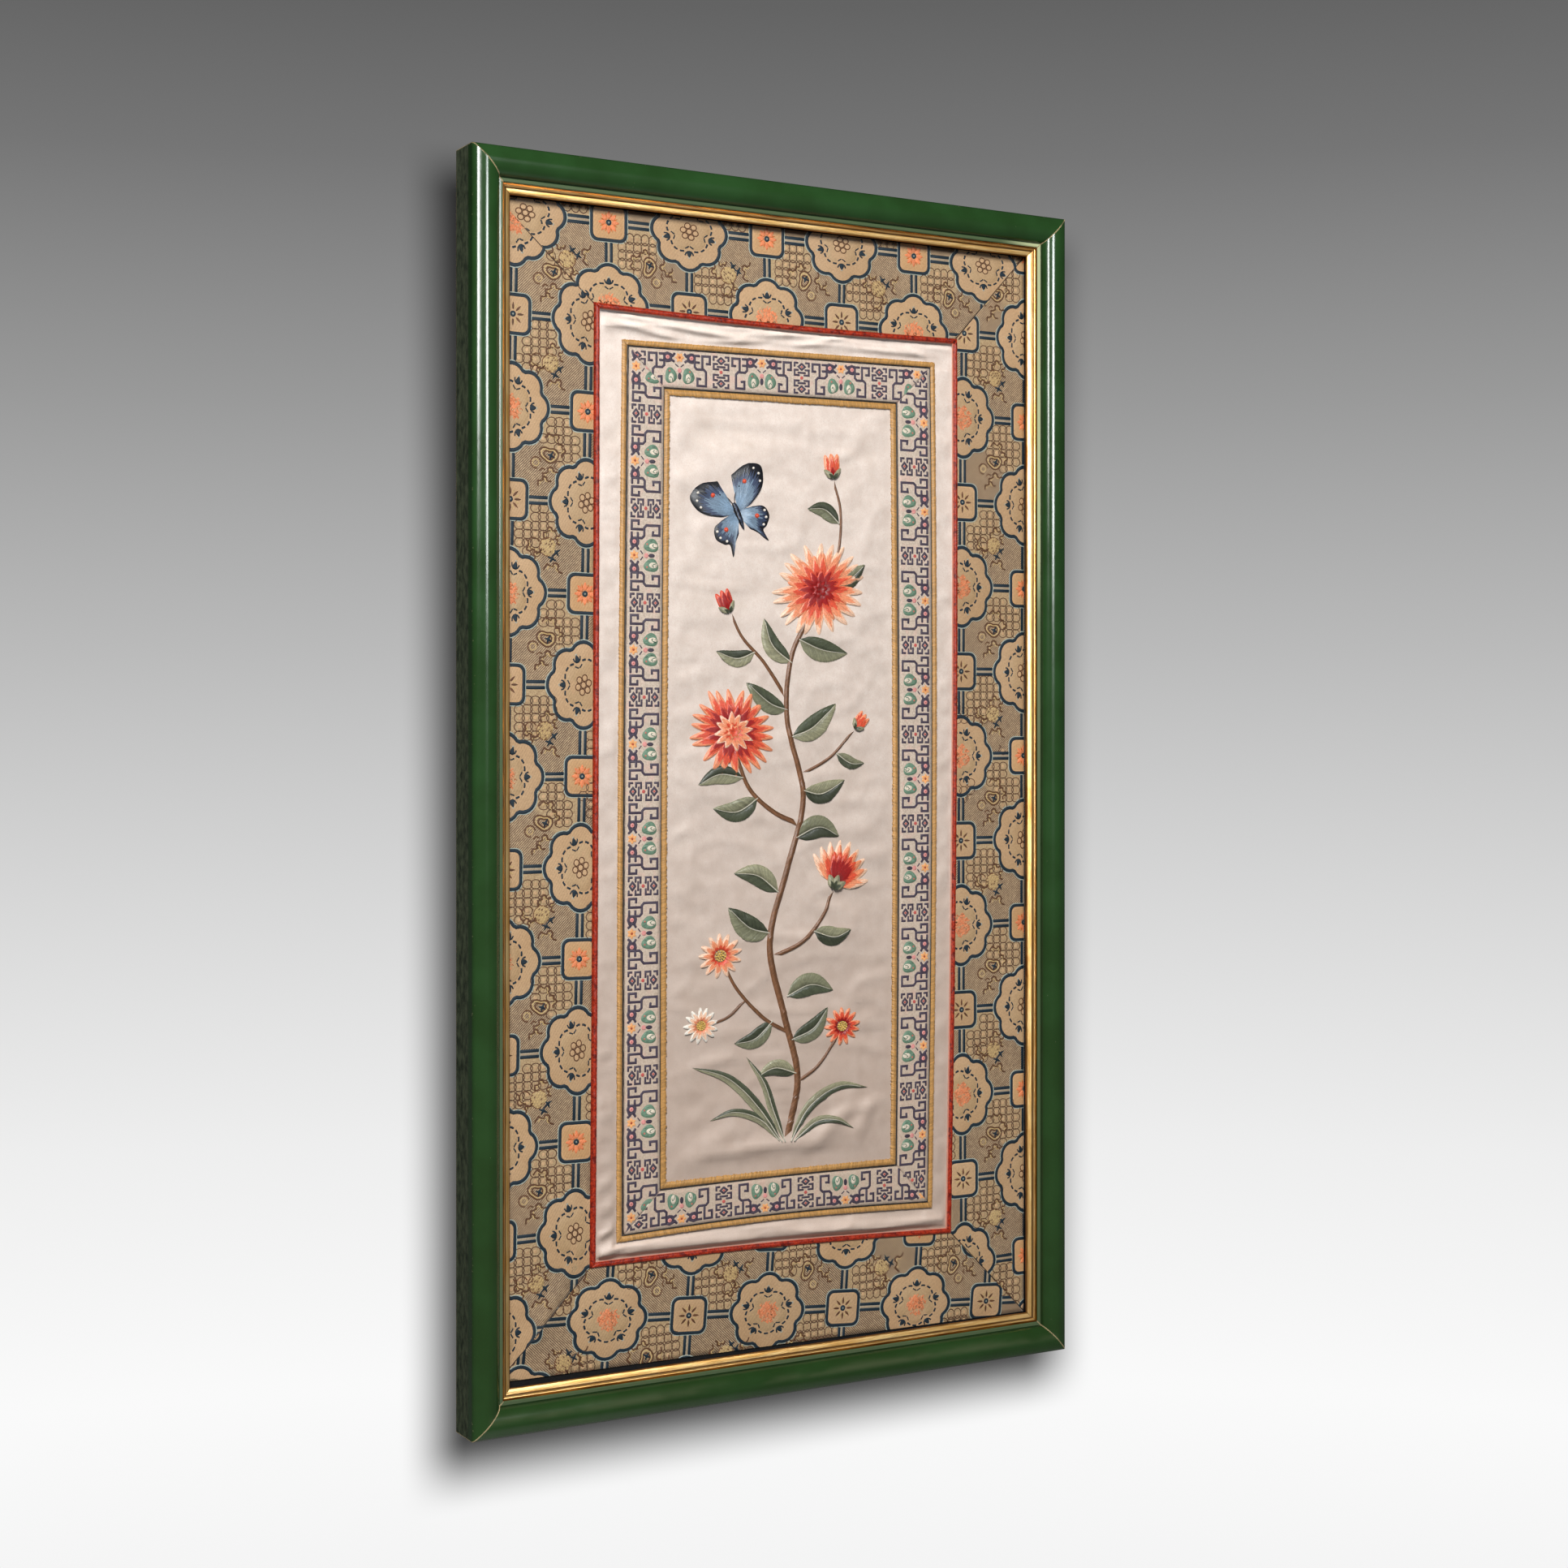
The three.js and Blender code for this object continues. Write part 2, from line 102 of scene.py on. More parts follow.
# Small creases, in the cloth's face alone.
SATIN_CREASES = [
    (-22, 270.4, 18, 1.5, 1.0, 3), (64, 271.2, 24, 1.5, 0.9, 1), (94, 265.0, 9, 1.5, 0.9, -20),
    (-94, 270.2, 14, 1.6, 0.8, -6), (24, 264.0, 16, 1.6, 0.8, 4), (-78, 261.3, 12, 1.4, 0.7, -8),
    (100, -266.4, 16, 2.2, 0.8, -2), (-113, -186, 8, 2.0, 0.6, 6),
    (-112, -198, 7, 2.0, 0.5, -10), (-112, -238, 8, 2.2, 0.7, 30), (-114, -212, 6, 1.8, 0.4, 14),
    (114, -232, 7, 2.0, 0.5, -10), (114, -221, 7, 1.8, 0.5, 6), (-113, -150, 7, 2.6, 0.35, 12),
    (114, -180, 7, 2.6, 0.3, -8), (62, -158, 14, 2.2, 0.55, -20), (58, -194, 20, 3.0, 0.7, 14),
    (24, -214, 24, 3.2, 0.7, -5), (-34, -214, 26, 3.4, 0.6, 5), (-66, -26, 7, 2.2, 0.5, 30),
    (-60, -64, 9, 2.2, 0.35, -24), (-28, 206, 7, 2.0, 0.4, -36), (-66, 180, 7, 2.0, 0.4, -28),
    (8, 172, 9, 2.6, 0.3, 20), (22, 28, 9, 2.2, 0.35, -30), (-56, 66, 9, 2.6, 0.35, 34),
    (-20, -78, 10, 2.4, 0.4, 24), (-40, -160, 12, 2.4, 0.45, 16), (6, -178, 14, 2.4, 0.45, -14),
    (60, 60, 8, 2.4, 0.3, 40),
]
BROCADE_FOLDS = [
    (-147, -289, 22, 4.5, 1.6, 58), (-158, -309, 9, 4, 0.8, 40), (160, -298, 12, 6, 0.6, -30),
    (30, 302, 60, 9, 0.5, 2), (-148, 40, 10, 60, 0.4, 0), (152, -40, 9, 70, 0.4, 0),
]
FOLD_CLEARANCE = 2


def rgb(red, green, blue):
    """A colour given in 0 to 255 as a screen shows it, as linear light."""
    shares = np.array([red, green, blue], float) / 255
    return np.where(shares <= 0.04045, shares / 12.92, ((shares + 0.055) / 1.055) ** 2.4)


def mix(a, b, share):
    return a + (b - a) * share


def smooth_step(value):
    t = np.clip(value, 0, 1)
    return t * t * (3 - 2 * t)


def rotation(angle):
    """What turns rows of points by an angle, where they stand to its left."""
    c, s = math.cos(angle), math.sin(angle)
    return np.array([[c, s], [-s, c]])


def value_noise(x, z, size, seed):
    """Smooth noise from -1 to 1 with its bumps about size apart."""
    table = np.random.default_rng(seed).uniform(-1, 1, (64, 64))
    u, v = np.asarray(x, float) / size + 640, np.asarray(z, float) / size + 640
    i, j = np.floor(u).astype(int), np.floor(v).astype(int)
    f, g = smooth_step(u - i), smooth_step(v - j)
    near = mix(table[i % 64, j % 64], table[(i + 1) % 64, j % 64], f)
    far = mix(table[i % 64, (j + 1) % 64], table[(i + 1) % 64, (j + 1) % 64], f)
    return mix(near, far, g)


# Outlines


def between(outer, inner, share):
    """The outline that lies a share of the way from one to another."""
    return {key: mix(np.array(outer[key]), np.array(inner[key]), share) for key in outer}


def moved_in(outline, inset):
    corners = np.array(outline["corners"])
    return {"corners": corners - np.copysign(inset, corners), "bows": outline["bows"]}


def side_corners(outline, side):
    """The corners where a side starts and ends."""
    return np.array([outline["corners"][side], outline["corners"][(side + 1) % 4]], float)


def side_point(outline, side, share):
    """Points on one side of an outline, with share from 0 at its first corner to 1 at its last."""
    share = np.asarray(share, float)[..., None]
    start, end = side_corners(outline, side)
    step = end - start
    outward = np.array([-step[1], step[0]]) / np.hypot(*step)
    return start + step * share + outward * outline["bows"][side] * np.sin(np.pi * share)


def inset_of(outline, x, z):
    """How far points lie inside an outline; outside it the answer is negative."""
    least = np.full(np.broadcast(x, z).shape, np.inf)
    for side in range(4):
        (x0, z0), (x1, z1) = side_corners(outline, side)
        length = math.hypot(x1 - x0, z1 - z0)
        ux, uz = (x1 - x0) / length, (z1 - z0) / length
        share = np.clip(((x - x0) * ux + (z - z0) * uz) / length, 0, 1)
        inward = (x - x0) * uz - (z - z0) * ux
        least = np.minimum(least, inward + outline["bows"][side] * np.sin(np.pi * share))
    return least


def fold_height(folds, x, z):
    height = 0
    for fold_x, fold_z, long, wide, high, slope in folds:
        c, s = math.cos(math.radians(slope)), math.sin(math.radians(slope))
        along = (x - fold_x) * c + (z - fold_z) * s
        across = (z - fold_z) * c - (x - fold_x) * s
        height = height + high * np.exp(-((along / long) ** 2) - (across / wide) ** 2)
    return height


PIPING_INNER = moved_in(PIPING, PIPING_WIDTH)
BROCADE_INNER = between(PIPING, PIPING_INNER, PIPING_COVER / PIPING_WIDTH)
SATIN = between(PIPING, PIPING_INNER, 1 - PIPING_COVER / PIPING_WIDTH)
RIBBON_OUTER, RIBBON_INNER = (between(BORDER, FIELD, share) for share in RIBBON_SHARE)


def satin_level(x, z):
    """The level of the satin's face. Its small crumples fade out under the trims."""
    margin_gap = np.minimum(inset_of(PIPING_INNER, x, z), -inset_of(BORDER, x, z))
    field_gap = inset_of(FIELD, x, z)
    room = np.maximum(smooth_step((margin_gap - 0.7) / 2.2), smooth_step((field_gap - 2) / 12))
    small = np.maximum(smooth_step(margin_gap / 3.5), smooth_step(field_gap / 8))
    ripples = 0.26 * value_noise(x, z * 1.8, 15, 3) + 0.12 * value_noise(x * 0.8, z * 1.6, 6, 4)
    creases = 0.5 * (1 - np.abs(value_noise(x * 0.7, z * 1.9, 26, 5))) ** 6
    folds = fold_height(SATIN_FOLDS, x, z) * room + fold_height(SATIN_CREASES, x, z) * small
    return CLOTH_FRONT + folds + (ripples + creases) * small


def brocade_level(x, z):
    gap = np.minimum(-inset_of(PIPING, x, z), inset_of(BROCADE, x, z))
    room = smooth_step((gap - FOLD_CLEARANCE) / 4)
    ripples = 0.14 * value_noise(x, z, 34, 11) + 0.05 * value_noise(x, z, 12, 12)
    return CLOTH_FRONT + (fold_height(BROCADE_FOLDS, x, z) + ripples) * room


def ribbon_level(x, z):
    return RIBBON_FRONT + 0.06 * value_noise(x, z, 18, 21)


# Meshes


def to_world(x, z, level):
    return np.stack([x, -level, z], -1) / 1000


def add_object(name, data):
    made = bpy.data.objects.new(name, data)
    bpy.context.scene.collection.objects.link(made)
    return made


def make_object(name, points, faces, material, colors=None):
    """A smooth mesh object from points in metres and faces as an array or a list of arrays."""
    faces = [faces] if isinstance(faces, np.ndarray) else faces
    mesh = bpy.data.meshes.new(name)
    mesh.vertices.add(len(points))
    mesh.vertices.foreach_set("co", np.asarray(points, np.float32).ravel())
    corners = np.concatenate([f.ravel() for f in faces]).astype(np.int32)
    sizes = np.concatenate([np.full(len(f), f.shape[1]) for f in faces]).astype(np.int32)
    mesh.loops.add(len(corners))
    mesh.loops.foreach_set("vertex_index", corners)
    mesh.polygons.add(len(sizes))
    mesh.polygons.foreach_set("loop_start", (np.cumsum(sizes) - sizes).astype(np.int32))
    mesh.polygons.foreach_set("loop_total", sizes)
    mesh.update(calc_edges=True)
    mesh.validate()
    mesh.polygons.foreach_set("use_smooth", np.ones(len(mesh.polygons), bool))
    if colors is not None:
        tint = mesh.attributes.new("tint", "FLOAT_COLOR", "CORNER")
        by_corner = np.repeat(colors, sizes, axis=0)
        by_corner = np.c_[by_corner, np.ones(len(by_corner))]
        tint.data.foreach_set("color", by_corner.astype(np.float32).ravel())
    mesh.materials.append(material)
    return add_object(name, mesh)


def add_piece(made, slot, *replaced):
    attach(made, "root")
    if replaced:
        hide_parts(*replaced)
    return made


def make_slab(name, x, z, front, back, material):
    """A closed slab over a grid of places with rows from the top and columns from the left."""
    rows, columns = x.shape
    index = np.arange(rows * columns).reshape(rows, columns)
    quads = np.stack([index[1:, :-1], index[1:, 1:], index[:-1, 1:], index[:-1, :-1]], -1)
    quads = quads.reshape(-1, 4)
    rim = np.concatenate([index[0, :-1], index[:-1, -1], index[-1, :0:-1], index[:0:-1, 0]])
    after = np.roll(rim, -1)
    count = rows * columns
    walls = np.stack([rim, after, after + count, rim + count], -1)
    right, up = (x[0, -1] - x[0, 0], z[0, -1] - z[0, 0]), (x[0, 0] - x[-1, 0], z[0, 0] - z[-1, 0])
    if right[0] * up[1] - right[1] * up[0] < 0:
        quads, walls = quads[:, ::-1], walls[:, ::-1]
    points = np.concatenate([to_world(x, z, level).reshape(-1, 3) for level in (front, back)])
    faces = np.concatenate([quads, quads[:, ::-1] + count, walls])
    return make_object(name, points, faces, material)


WELDS_PER_MM = 2000
SUNK = -0.08  # the lower edge of a thread, just inside the cloth


class Threads:
    """Loose triangles of thread, with corners as x, z and a height above the cloth."""

    def __init__(self):
        self.triangles, self.colors = [], []

    def add(self, triangles, color):
        triangles = np.asarray(triangles, float).reshape(-1, 3, 3)
        self.triangles.append(triangles)
        self.colors.append(np.array(np.broadcast_to(color, (len(triangles), 3)), float))

    def gathered(self):
        return np.concatenate(self.triangles), np.concatenate(self.colors)

    def stamp(self, other, place, turn=0.0, scale=(1, 1), shade=1.0):
        """Adds another set, scaled, turned by an angle in degrees and moved to a place."""
        triangles, colors = other.gathered()
        c, s = math.cos(math.radians(turn)), math.sin(math.radians(turn))
        x, z = triangles[..., 0] * scale[0], triangles[..., 1] * scale[1]
        x, z = x * c - z * s + place[0], x * s + z * c + place[1]
        self.triangles.append(np.stack([x, z, triangles[..., 2]], -1))
        self.colors.append(colors * shade)

    def clipped(self, distance):
        """Only what lies where distance(x, z) is positive."""
        triangles, colors = self.gathered()
        d = distance(triangles[..., 0], triangles[..., 1])
        inside = d > 0
        count = inside.sum(1)
        kept, kept_colors = [triangles[count == 3]], [colors[count == 3]]
        for inside_count in (1, 2):
            chosen = count == inside_count
            part, part_d, part_in = triangles[chosen], d[chosen], inside[chosen]
            if not len(part):
                continue
            odd = np.argmax(part_in if inside_count == 1 else ~part_in, axis=1)
            order = (odd[:, None] + np.arange(3)) % 3
            rows = np.arange(len(part))[:, None]
            a, b, c = np.moveaxis(part[rows, order], 1, 0)
            d_a, d_b, d_c = part_d[rows, order].T[..., None]
            cut_b, cut_c = mix(a, b, d_a / (d_a - d_b)), mix(a, c, d_a / (d_a - d_c))
            one, two = [(a, cut_b, cut_c)], [(cut_b, b, c), (cut_b, c, cut_c)]
            for piece in one if inside_count == 1 else two:
                kept.append(np.stack(piece, 1))
                kept_colors.append(colors[chosen])
        result = Threads()
        result.triangles, result.colors = kept, kept_colors
        return result

    def build(self, name, level_at, material):
        """A mesh object with shared corners welded, its faces towards the viewer."""
        triangles, colors = self.gathered()
        x, z = triangles[..., 0], triangles[..., 1]
        (x0, x1, x2), (z0, z1, z2) = x.T, z.T
        area = (x1 - x0) * (z2 - z0) - (x2 - x0) * (z1 - z0)
        triangles = np.where((area < 0)[:, None, None], triangles[:, ::-1], triangles)
        keep = np.abs(area) > 1e-7
        triangles, colors = triangles[keep], colors[keep]
        rounded = np.round(triangles.reshape(-1, 3) * WELDS_PER_MM).astype(np.int64)
        keys, index = np.unique(rounded, axis=0, return_inverse=True)
        faces = index.reshape(-1, 3)
        whole = (faces != np.roll(faces, 1, axis=1)).all(1)
        _, first = np.unique(np.sort(faces, axis=1), axis=0, return_index=True)
        single = np.zeros(len(faces), bool)
        single[first] = True
        faces, colors = faces[whole & single], colors[whole & single]
        x, z, height = keys.T / WELDS_PER_MM
        points = to_world(x, z, level_at(x, z) + height)
        return make_object(name, points, faces, material, colors)


def grid_triangles(points):
    """Two triangles for each cell of a grid of points, as (rows, columns, 2, 3, 3)."""
    a, b, c, d = points[:-1, :-1], points[1:, :-1], points[1:, 1:], points[:-1, 1:]
    return np.stack([np.stack([a, b, c], -2), np.stack([a, c, d], -2)], 2)


def stroke(path, width, height, closed=False):
    """A low rounded line along a path, with its ends sunk."""
    path = np.asarray(path, float)
    width = np.broadcast_to(width, len(path)).astype(float)
    if closed:
        steps = np.roll(path, -1, 0) - path
    else:
        steps = np.diff(path, axis=0)
    directions = steps / np.maximum(np.hypot(*steps.T), 1e-9)[:, None]
    if closed:
        before, after = np.roll(directions, 1, 0), directions
    else:
        before = np.concatenate([directions[:1], directions])
        after = np.concatenate([directions, directions[-1:]])
    normals = np.stack([-(before + after)[:, 1], (before + after)[:, 0]], -1)
    normals /= np.maximum(np.hypot(*normals.T), 1e-9)[:, None]
    facing = np.stack([-after[:, 1], after[:, 0]], -1)
    normals /= np.maximum((normals * facing).sum(1), 0.55)[:, None]
    offsets, heights = np.array([-1, -0.62, 0.62, 1]) / 2, np.array([SUNK, height, height, SUNK])
    rows = np.empty((len(path), 4, 3))
    rows[..., :2] = path[:, None] + normals[:, None] * (offsets[:, None] * width[:, None, None])
    rows[..., 2] = heights
    if closed:
        return grid_triangles(np.concatenate([rows, rows[:1]]))
    ends = []
    for at, direction in ((0, -directions[0]), (-1, directions[-1])):
        end = rows[at].copy()
        end[:, :2] = path[at] + direction * width[at] * 0.3 + (end[:, :2] - path[at]) * 0.55
        end[:, 2] = SUNK
        ends.append(end)
    return grid_triangles(np.concatenate([ends[0][None], rows, ends[1][None]]))


def circle(center, radius, count, start=0.0):
    angles = start + np.arange(count) * 2 * np.pi / count
    return np.stack([center[0] + radius * np.cos(angles), center[1] + radius * np.sin(angles)], -1)


def fill(outline, height, dome=0.0):
    """A low plate over a closed outline, with a sloping rim and a dome if asked."""
    outline = np.asarray(outline, float)
    center = outline.mean(0)
    rings = []
    profile = ((1.0, SUNK), (0.97, height), (0.6, height + dome * 0.75), (0.001, height + dome))
    for share, high in profile:
        places = center + (outline - center) * share
        rings.append(np.concatenate([places, np.full((len(places), 1), high)], 1))
    rings = np.array(rings)
    return grid_triangles(np.concatenate([rings, rings[:, :1]], 1))


def resampled(path, count):
    """A path's points at even steps along it."""
    path = np.asarray(path, float)
    lengths = np.concatenate([[0], np.cumsum(np.hypot(*np.diff(path, axis=0).T))])
    at = np.linspace(0, lengths[-1], count)
    return np.stack([np.interp(at, lengths, path[:, i]) for i in (0, 1)], -1)


def path_length(path):
    return np.hypot(*np.diff(np.asarray(path, float), axis=0).T).sum()


def curve(points, count):
    """A smooth path through points."""
    points = np.asarray(points, float)
    padded = np.concatenate([2 * points[:1] - points[1:2], points, 2 * points[-1:] - points[-2:-1]])
    parts = []
    for p0, p1, p2, p3 in zip(padded, padded[1:], padded[2:], padded[3:]):
        t = np.linspace(0, 1, 12)[:, None]
        square, cube = 2 * p0 - 5 * p1 + 4 * p2 - p3, 3 * p1 - p0 - 3 * p2 + p3
        parts.append(0.5 * (2 * p1 + (p2 - p0) * t + square * t**2 + cube * t**3))
    return resampled(np.concatenate(parts), count)


def bands(tones, *shares):
    """Colours along a thread: each tone with the share of its length where it starts."""
    return list(zip((0.0, *shares), tones))


def satin_stitch(threads, start, end, colors, random, pitch, pad, lift=0.0, ragged=0.0, ridge=0.11):
    """Threads laid side by side from one curve to another over a padding.

    colors are (share along the thread, colour) pairs; their joins are staggered like long and short
    stitches. ragged lets the far ends stand out by up to that length."""
    longest = max(path_length(start), path_length(end))
    count = max(2, round(longest / pitch))
    a, b = resampled(start, 2 * count + 1), resampled(end, 2 * count + 1)
    breaks = [share for share, _ in colors[1:]]
    base = sorted({0.0, 0.03, 0.5, 0.97, 1.0, *breaks})
    stations = np.tile(base, (2 * count + 1, 1))
    for share in breaks:
        jitter = random.uniform(-0.11, 0.11, count)
        stations[1::2, base.index(share)] += jitter
        stations[2:-1:2, base.index(share)] += (jitter[:-1] + jitter[1:]) / 2
    stations = np.clip(np.maximum.accumulate(stations, 1), 0, 1)
    points = np.empty((2 * count + 1, len(base), 3))
    points[..., :2] = mix(a[:, None], b[:, None], stations[..., None])
    if ragged:
        reach = np.zeros(2 * count + 1)
        reach[1::2] = random.uniform(-ragged, ragged, count)
        direction = (b - a) / np.maximum(np.hypot(*(b - a).T), 1e-6)[:, None]
        points[:, -2:, :2] += (direction * reach[:, None])[:, None]
    across = np.linspace(0, 1, 2 * count + 1)[:, None]
    dome = np.sqrt(np.clip(1 - (2 * stations - 1) ** 4, 0, 1))
    dome = dome * np.clip(1 - (2 * across - 1) ** 6, 0, 1) ** 0.5
    length = np.hypot(*(b - a).T)[:, None]
    points[..., 2] = lift + np.minimum(pad, 0.12 + length * 0.12) * dome
    points[1::2, :, 2] += ridge
    points[:, 0, 2] = points[:, -1, 2] = SUNK
    points[0, :, 2] = points[-1, :, 2] = SUNK
    tints = np.empty((2 * count, len(base) - 1, 3))
    shares = np.array([share for share, _ in colors])
    tones = np.array([tone for _, tone in colors])
    for i in range(len(base) - 1):
        tints[:, i] = tones[np.searchsorted(shares, base[i], "right") - 1]
    tints *= np.repeat(random.uniform(0.78, 1.16, count), 2)[:, None, None]
    threads.add(grid_triangles(points), np.repeat(tints.reshape(-1, 3), 2, axis=0))


# Materials


class Value:
    """A number in a node tree, with arithmetic that adds nodes."""

    def __init__(self, tree, socket):
        self.tree, self.socket = tree, socket

    def math(self, operation, *others):
        node = self.tree.nodes.new("ShaderNodeMath")
        node.operation = operation
        for slot, value in zip(node.inputs, (self, *others)):
            if isinstance(value, Value):
                self.tree.links.new(value.socket, slot)
            else:
                slot.default_value = value
        return Value(self.tree, node.outputs[0])

    def __add__(self, other):
        return self.math("ADD", other)

    def __sub__(self, other):
        return self.math("SUBTRACT", other)

    def __rsub__(self, other):
        return self * -1 + other

    def __mul__(self, other):
        return self.math("MULTIPLY", other)

    __radd__, __rmul__ = __add__, __mul__

    def __abs__(self):
        return self.math("ABSOLUTE")

    def least(self, other):
        return self.math("MINIMUM", other)

    def most(self, other):
        return self.math("MAXIMUM", other)

    def sine(self, period):
        """A wave from -1 to 1 with this period."""
        return (self * (2 * math.pi / period)).math("SINE")

    def ramp(self, low, high, to_low=0.0, to_high=1.0):
        """Runs smoothly from to_low, where this is low, to to_high."""
        node = self.tree.nodes.new("ShaderNodeMapRange")
        node.interpolation_type = "SMOOTHSTEP"
        self.tree.links.new(self.socket, node.inputs[0])
        for slot, value in zip(node.inputs[1:5], (low, high, to_low, to_high)):
            slot.default_value = value
        return Value(self.tree, node.outputs[0])


class Finish:
    """A Principled material whose patterns are in millimetres of the object's own space."""

    def __init__(self, name, **numbers):
        self.material = bpy.data.materials.new(name)
        self.material.use_nodes = True
        self.tree = self.material.node_tree
        self.shader = self.tree.nodes["Principled BSDF"]
        for socket, value in numbers.items():
            self.shader.inputs[socket.replace("_", " ")].default_value = value
        place = self.tree.nodes.new("ShaderNodeTexCoord")
        scaled = self.tree.nodes.new("ShaderNodeVectorMath")
        scaled.operation = "SCALE"
        scaled.inputs["Scale"].default_value = 1000
        self.tree.links.new(place.outputs["Object"], scaled.inputs[0])
        self.place = scaled.outputs[0]
        axes = self.tree.nodes.new("ShaderNodeSeparateXYZ")
        self.tree.links.new(self.place, axes.inputs[0])
        self.x, self.y, self.z = (Value(self.tree, socket) for socket in axes.outputs)
        self.level = self.y * -1

    def noise(self, size, detail, rough=0.5, stretch=None):
        """Noise from 0 to 1 with its bumps about size apart."""
        node = self.tree.nodes.new("ShaderNodeTexNoise")
        node.inputs["Scale"].default_value = 1 / size
        node.inputs["Detail"].default_value = detail
        node.inputs["Roughness"].default_value = rough
        source = self.place
        if stretch:
            scaled = self.tree.nodes.new("ShaderNodeVectorMath")
            scaled.operation = "MULTIPLY"
            scaled.inputs[1].default_value = stretch
            self.tree.links.new(source, scaled.inputs[0])
            source = scaled.outputs[0]
        self.tree.links.new(source, node.inputs["Vector"])
        return Value(self.tree, node.outputs[0])

    def blend(self, share, a, b, mode="MIX"):
        """A colour socket that runs from a to b; each is a colour or such a socket."""
        node = self.tree.nodes.new("ShaderNodeMix")
        node.data_type, node.blend_type = "RGBA", mode
        if isinstance(share, Value):
            self.tree.links.new(share.socket, node.inputs[0])
        else:
            node.inputs[0].default_value = share
        for slot, value in ((node.inputs[6], a), (node.inputs[7], b)):
            if isinstance(value, bpy.types.NodeSocket):
                self.tree.links.new(value, slot)
            else:
                slot.default_value = (*value, 1)
        return node.outputs[2]

    def tint(self):
        node = self.tree.nodes.new("ShaderNodeAttribute")
        node.attribute_name = "tint"
        return node.outputs["Color"]

    def mask(self):
        """The first channel of the tint, for a piece whose points carry a share."""
        split = self.tree.nodes.new("ShaderNodeSeparateColor")
        self.tree.links.new(self.tint(), split.inputs[0])
        return Value(self.tree, split.outputs[0])

    def color(self, socket):
        self.tree.links.new(socket, self.shader.inputs["Base Color"])

    def roughness(self, value):
        self.tree.links.new(value.socket, self.shader.inputs["Roughness"])

    def alpha(self, value):
        self.tree.links.new(value.socket, self.shader.inputs["Alpha"])

    def bump(self, height, distance, strength):
        """Relief from a height of 0 to 1, as deep as distance in millimetres."""
        node = self.tree.nodes.new("ShaderNodeBump")
        node.inputs["Distance"].default_value = distance / 1000
        node.inputs["Strength"].default_value = strength
        self.tree.links.new(height.socket, node.inputs["Height"])
        self.tree.links.new(node.outputs[0], self.shader.inputs["Normal"])


def frame_insets(f):
    """How far a point of the frame lies in from its side edge and from its end edge."""
    return HALF_WIDTH - abs(f.x), HALF_HEIGHT - abs(f.z)


def rail_inset(f):
    """How far a point of the frame lies in from the nearest outer edge."""
    from_side, from_end = frame_insets(f)
    return from_side.least(from_end)


def mitre_line(f, width):
    """1 on the mitred joints of the frame and 0 away from them."""
    from_side, from_end = frame_insets(f)
    return abs(from_side - from_end).ramp(width, width * 0.4)


def rail_grain(f, size, stretch):
    """Noise that is drawn out along each rail."""
    from_side, from_end = frame_insets(f)
    upright = (from_end - from_side).ramp(-0.2, 0.2)
    grains = [f.noise(size, 4, 0.6, scale) for scale in ((1, 1, stretch), (stretch, 1, 1))]
    return grains[0] * upright + grains[1] * (1 - upright)


def cloth_finish(name, rough, gloss, sheen, sheen_rough=0.4):
    return Finish(name, Roughness=rough, Specular_IOR_Level=gloss, Sheen_Weight=sheen,
                  Sheen_Roughness=sheen_rough)


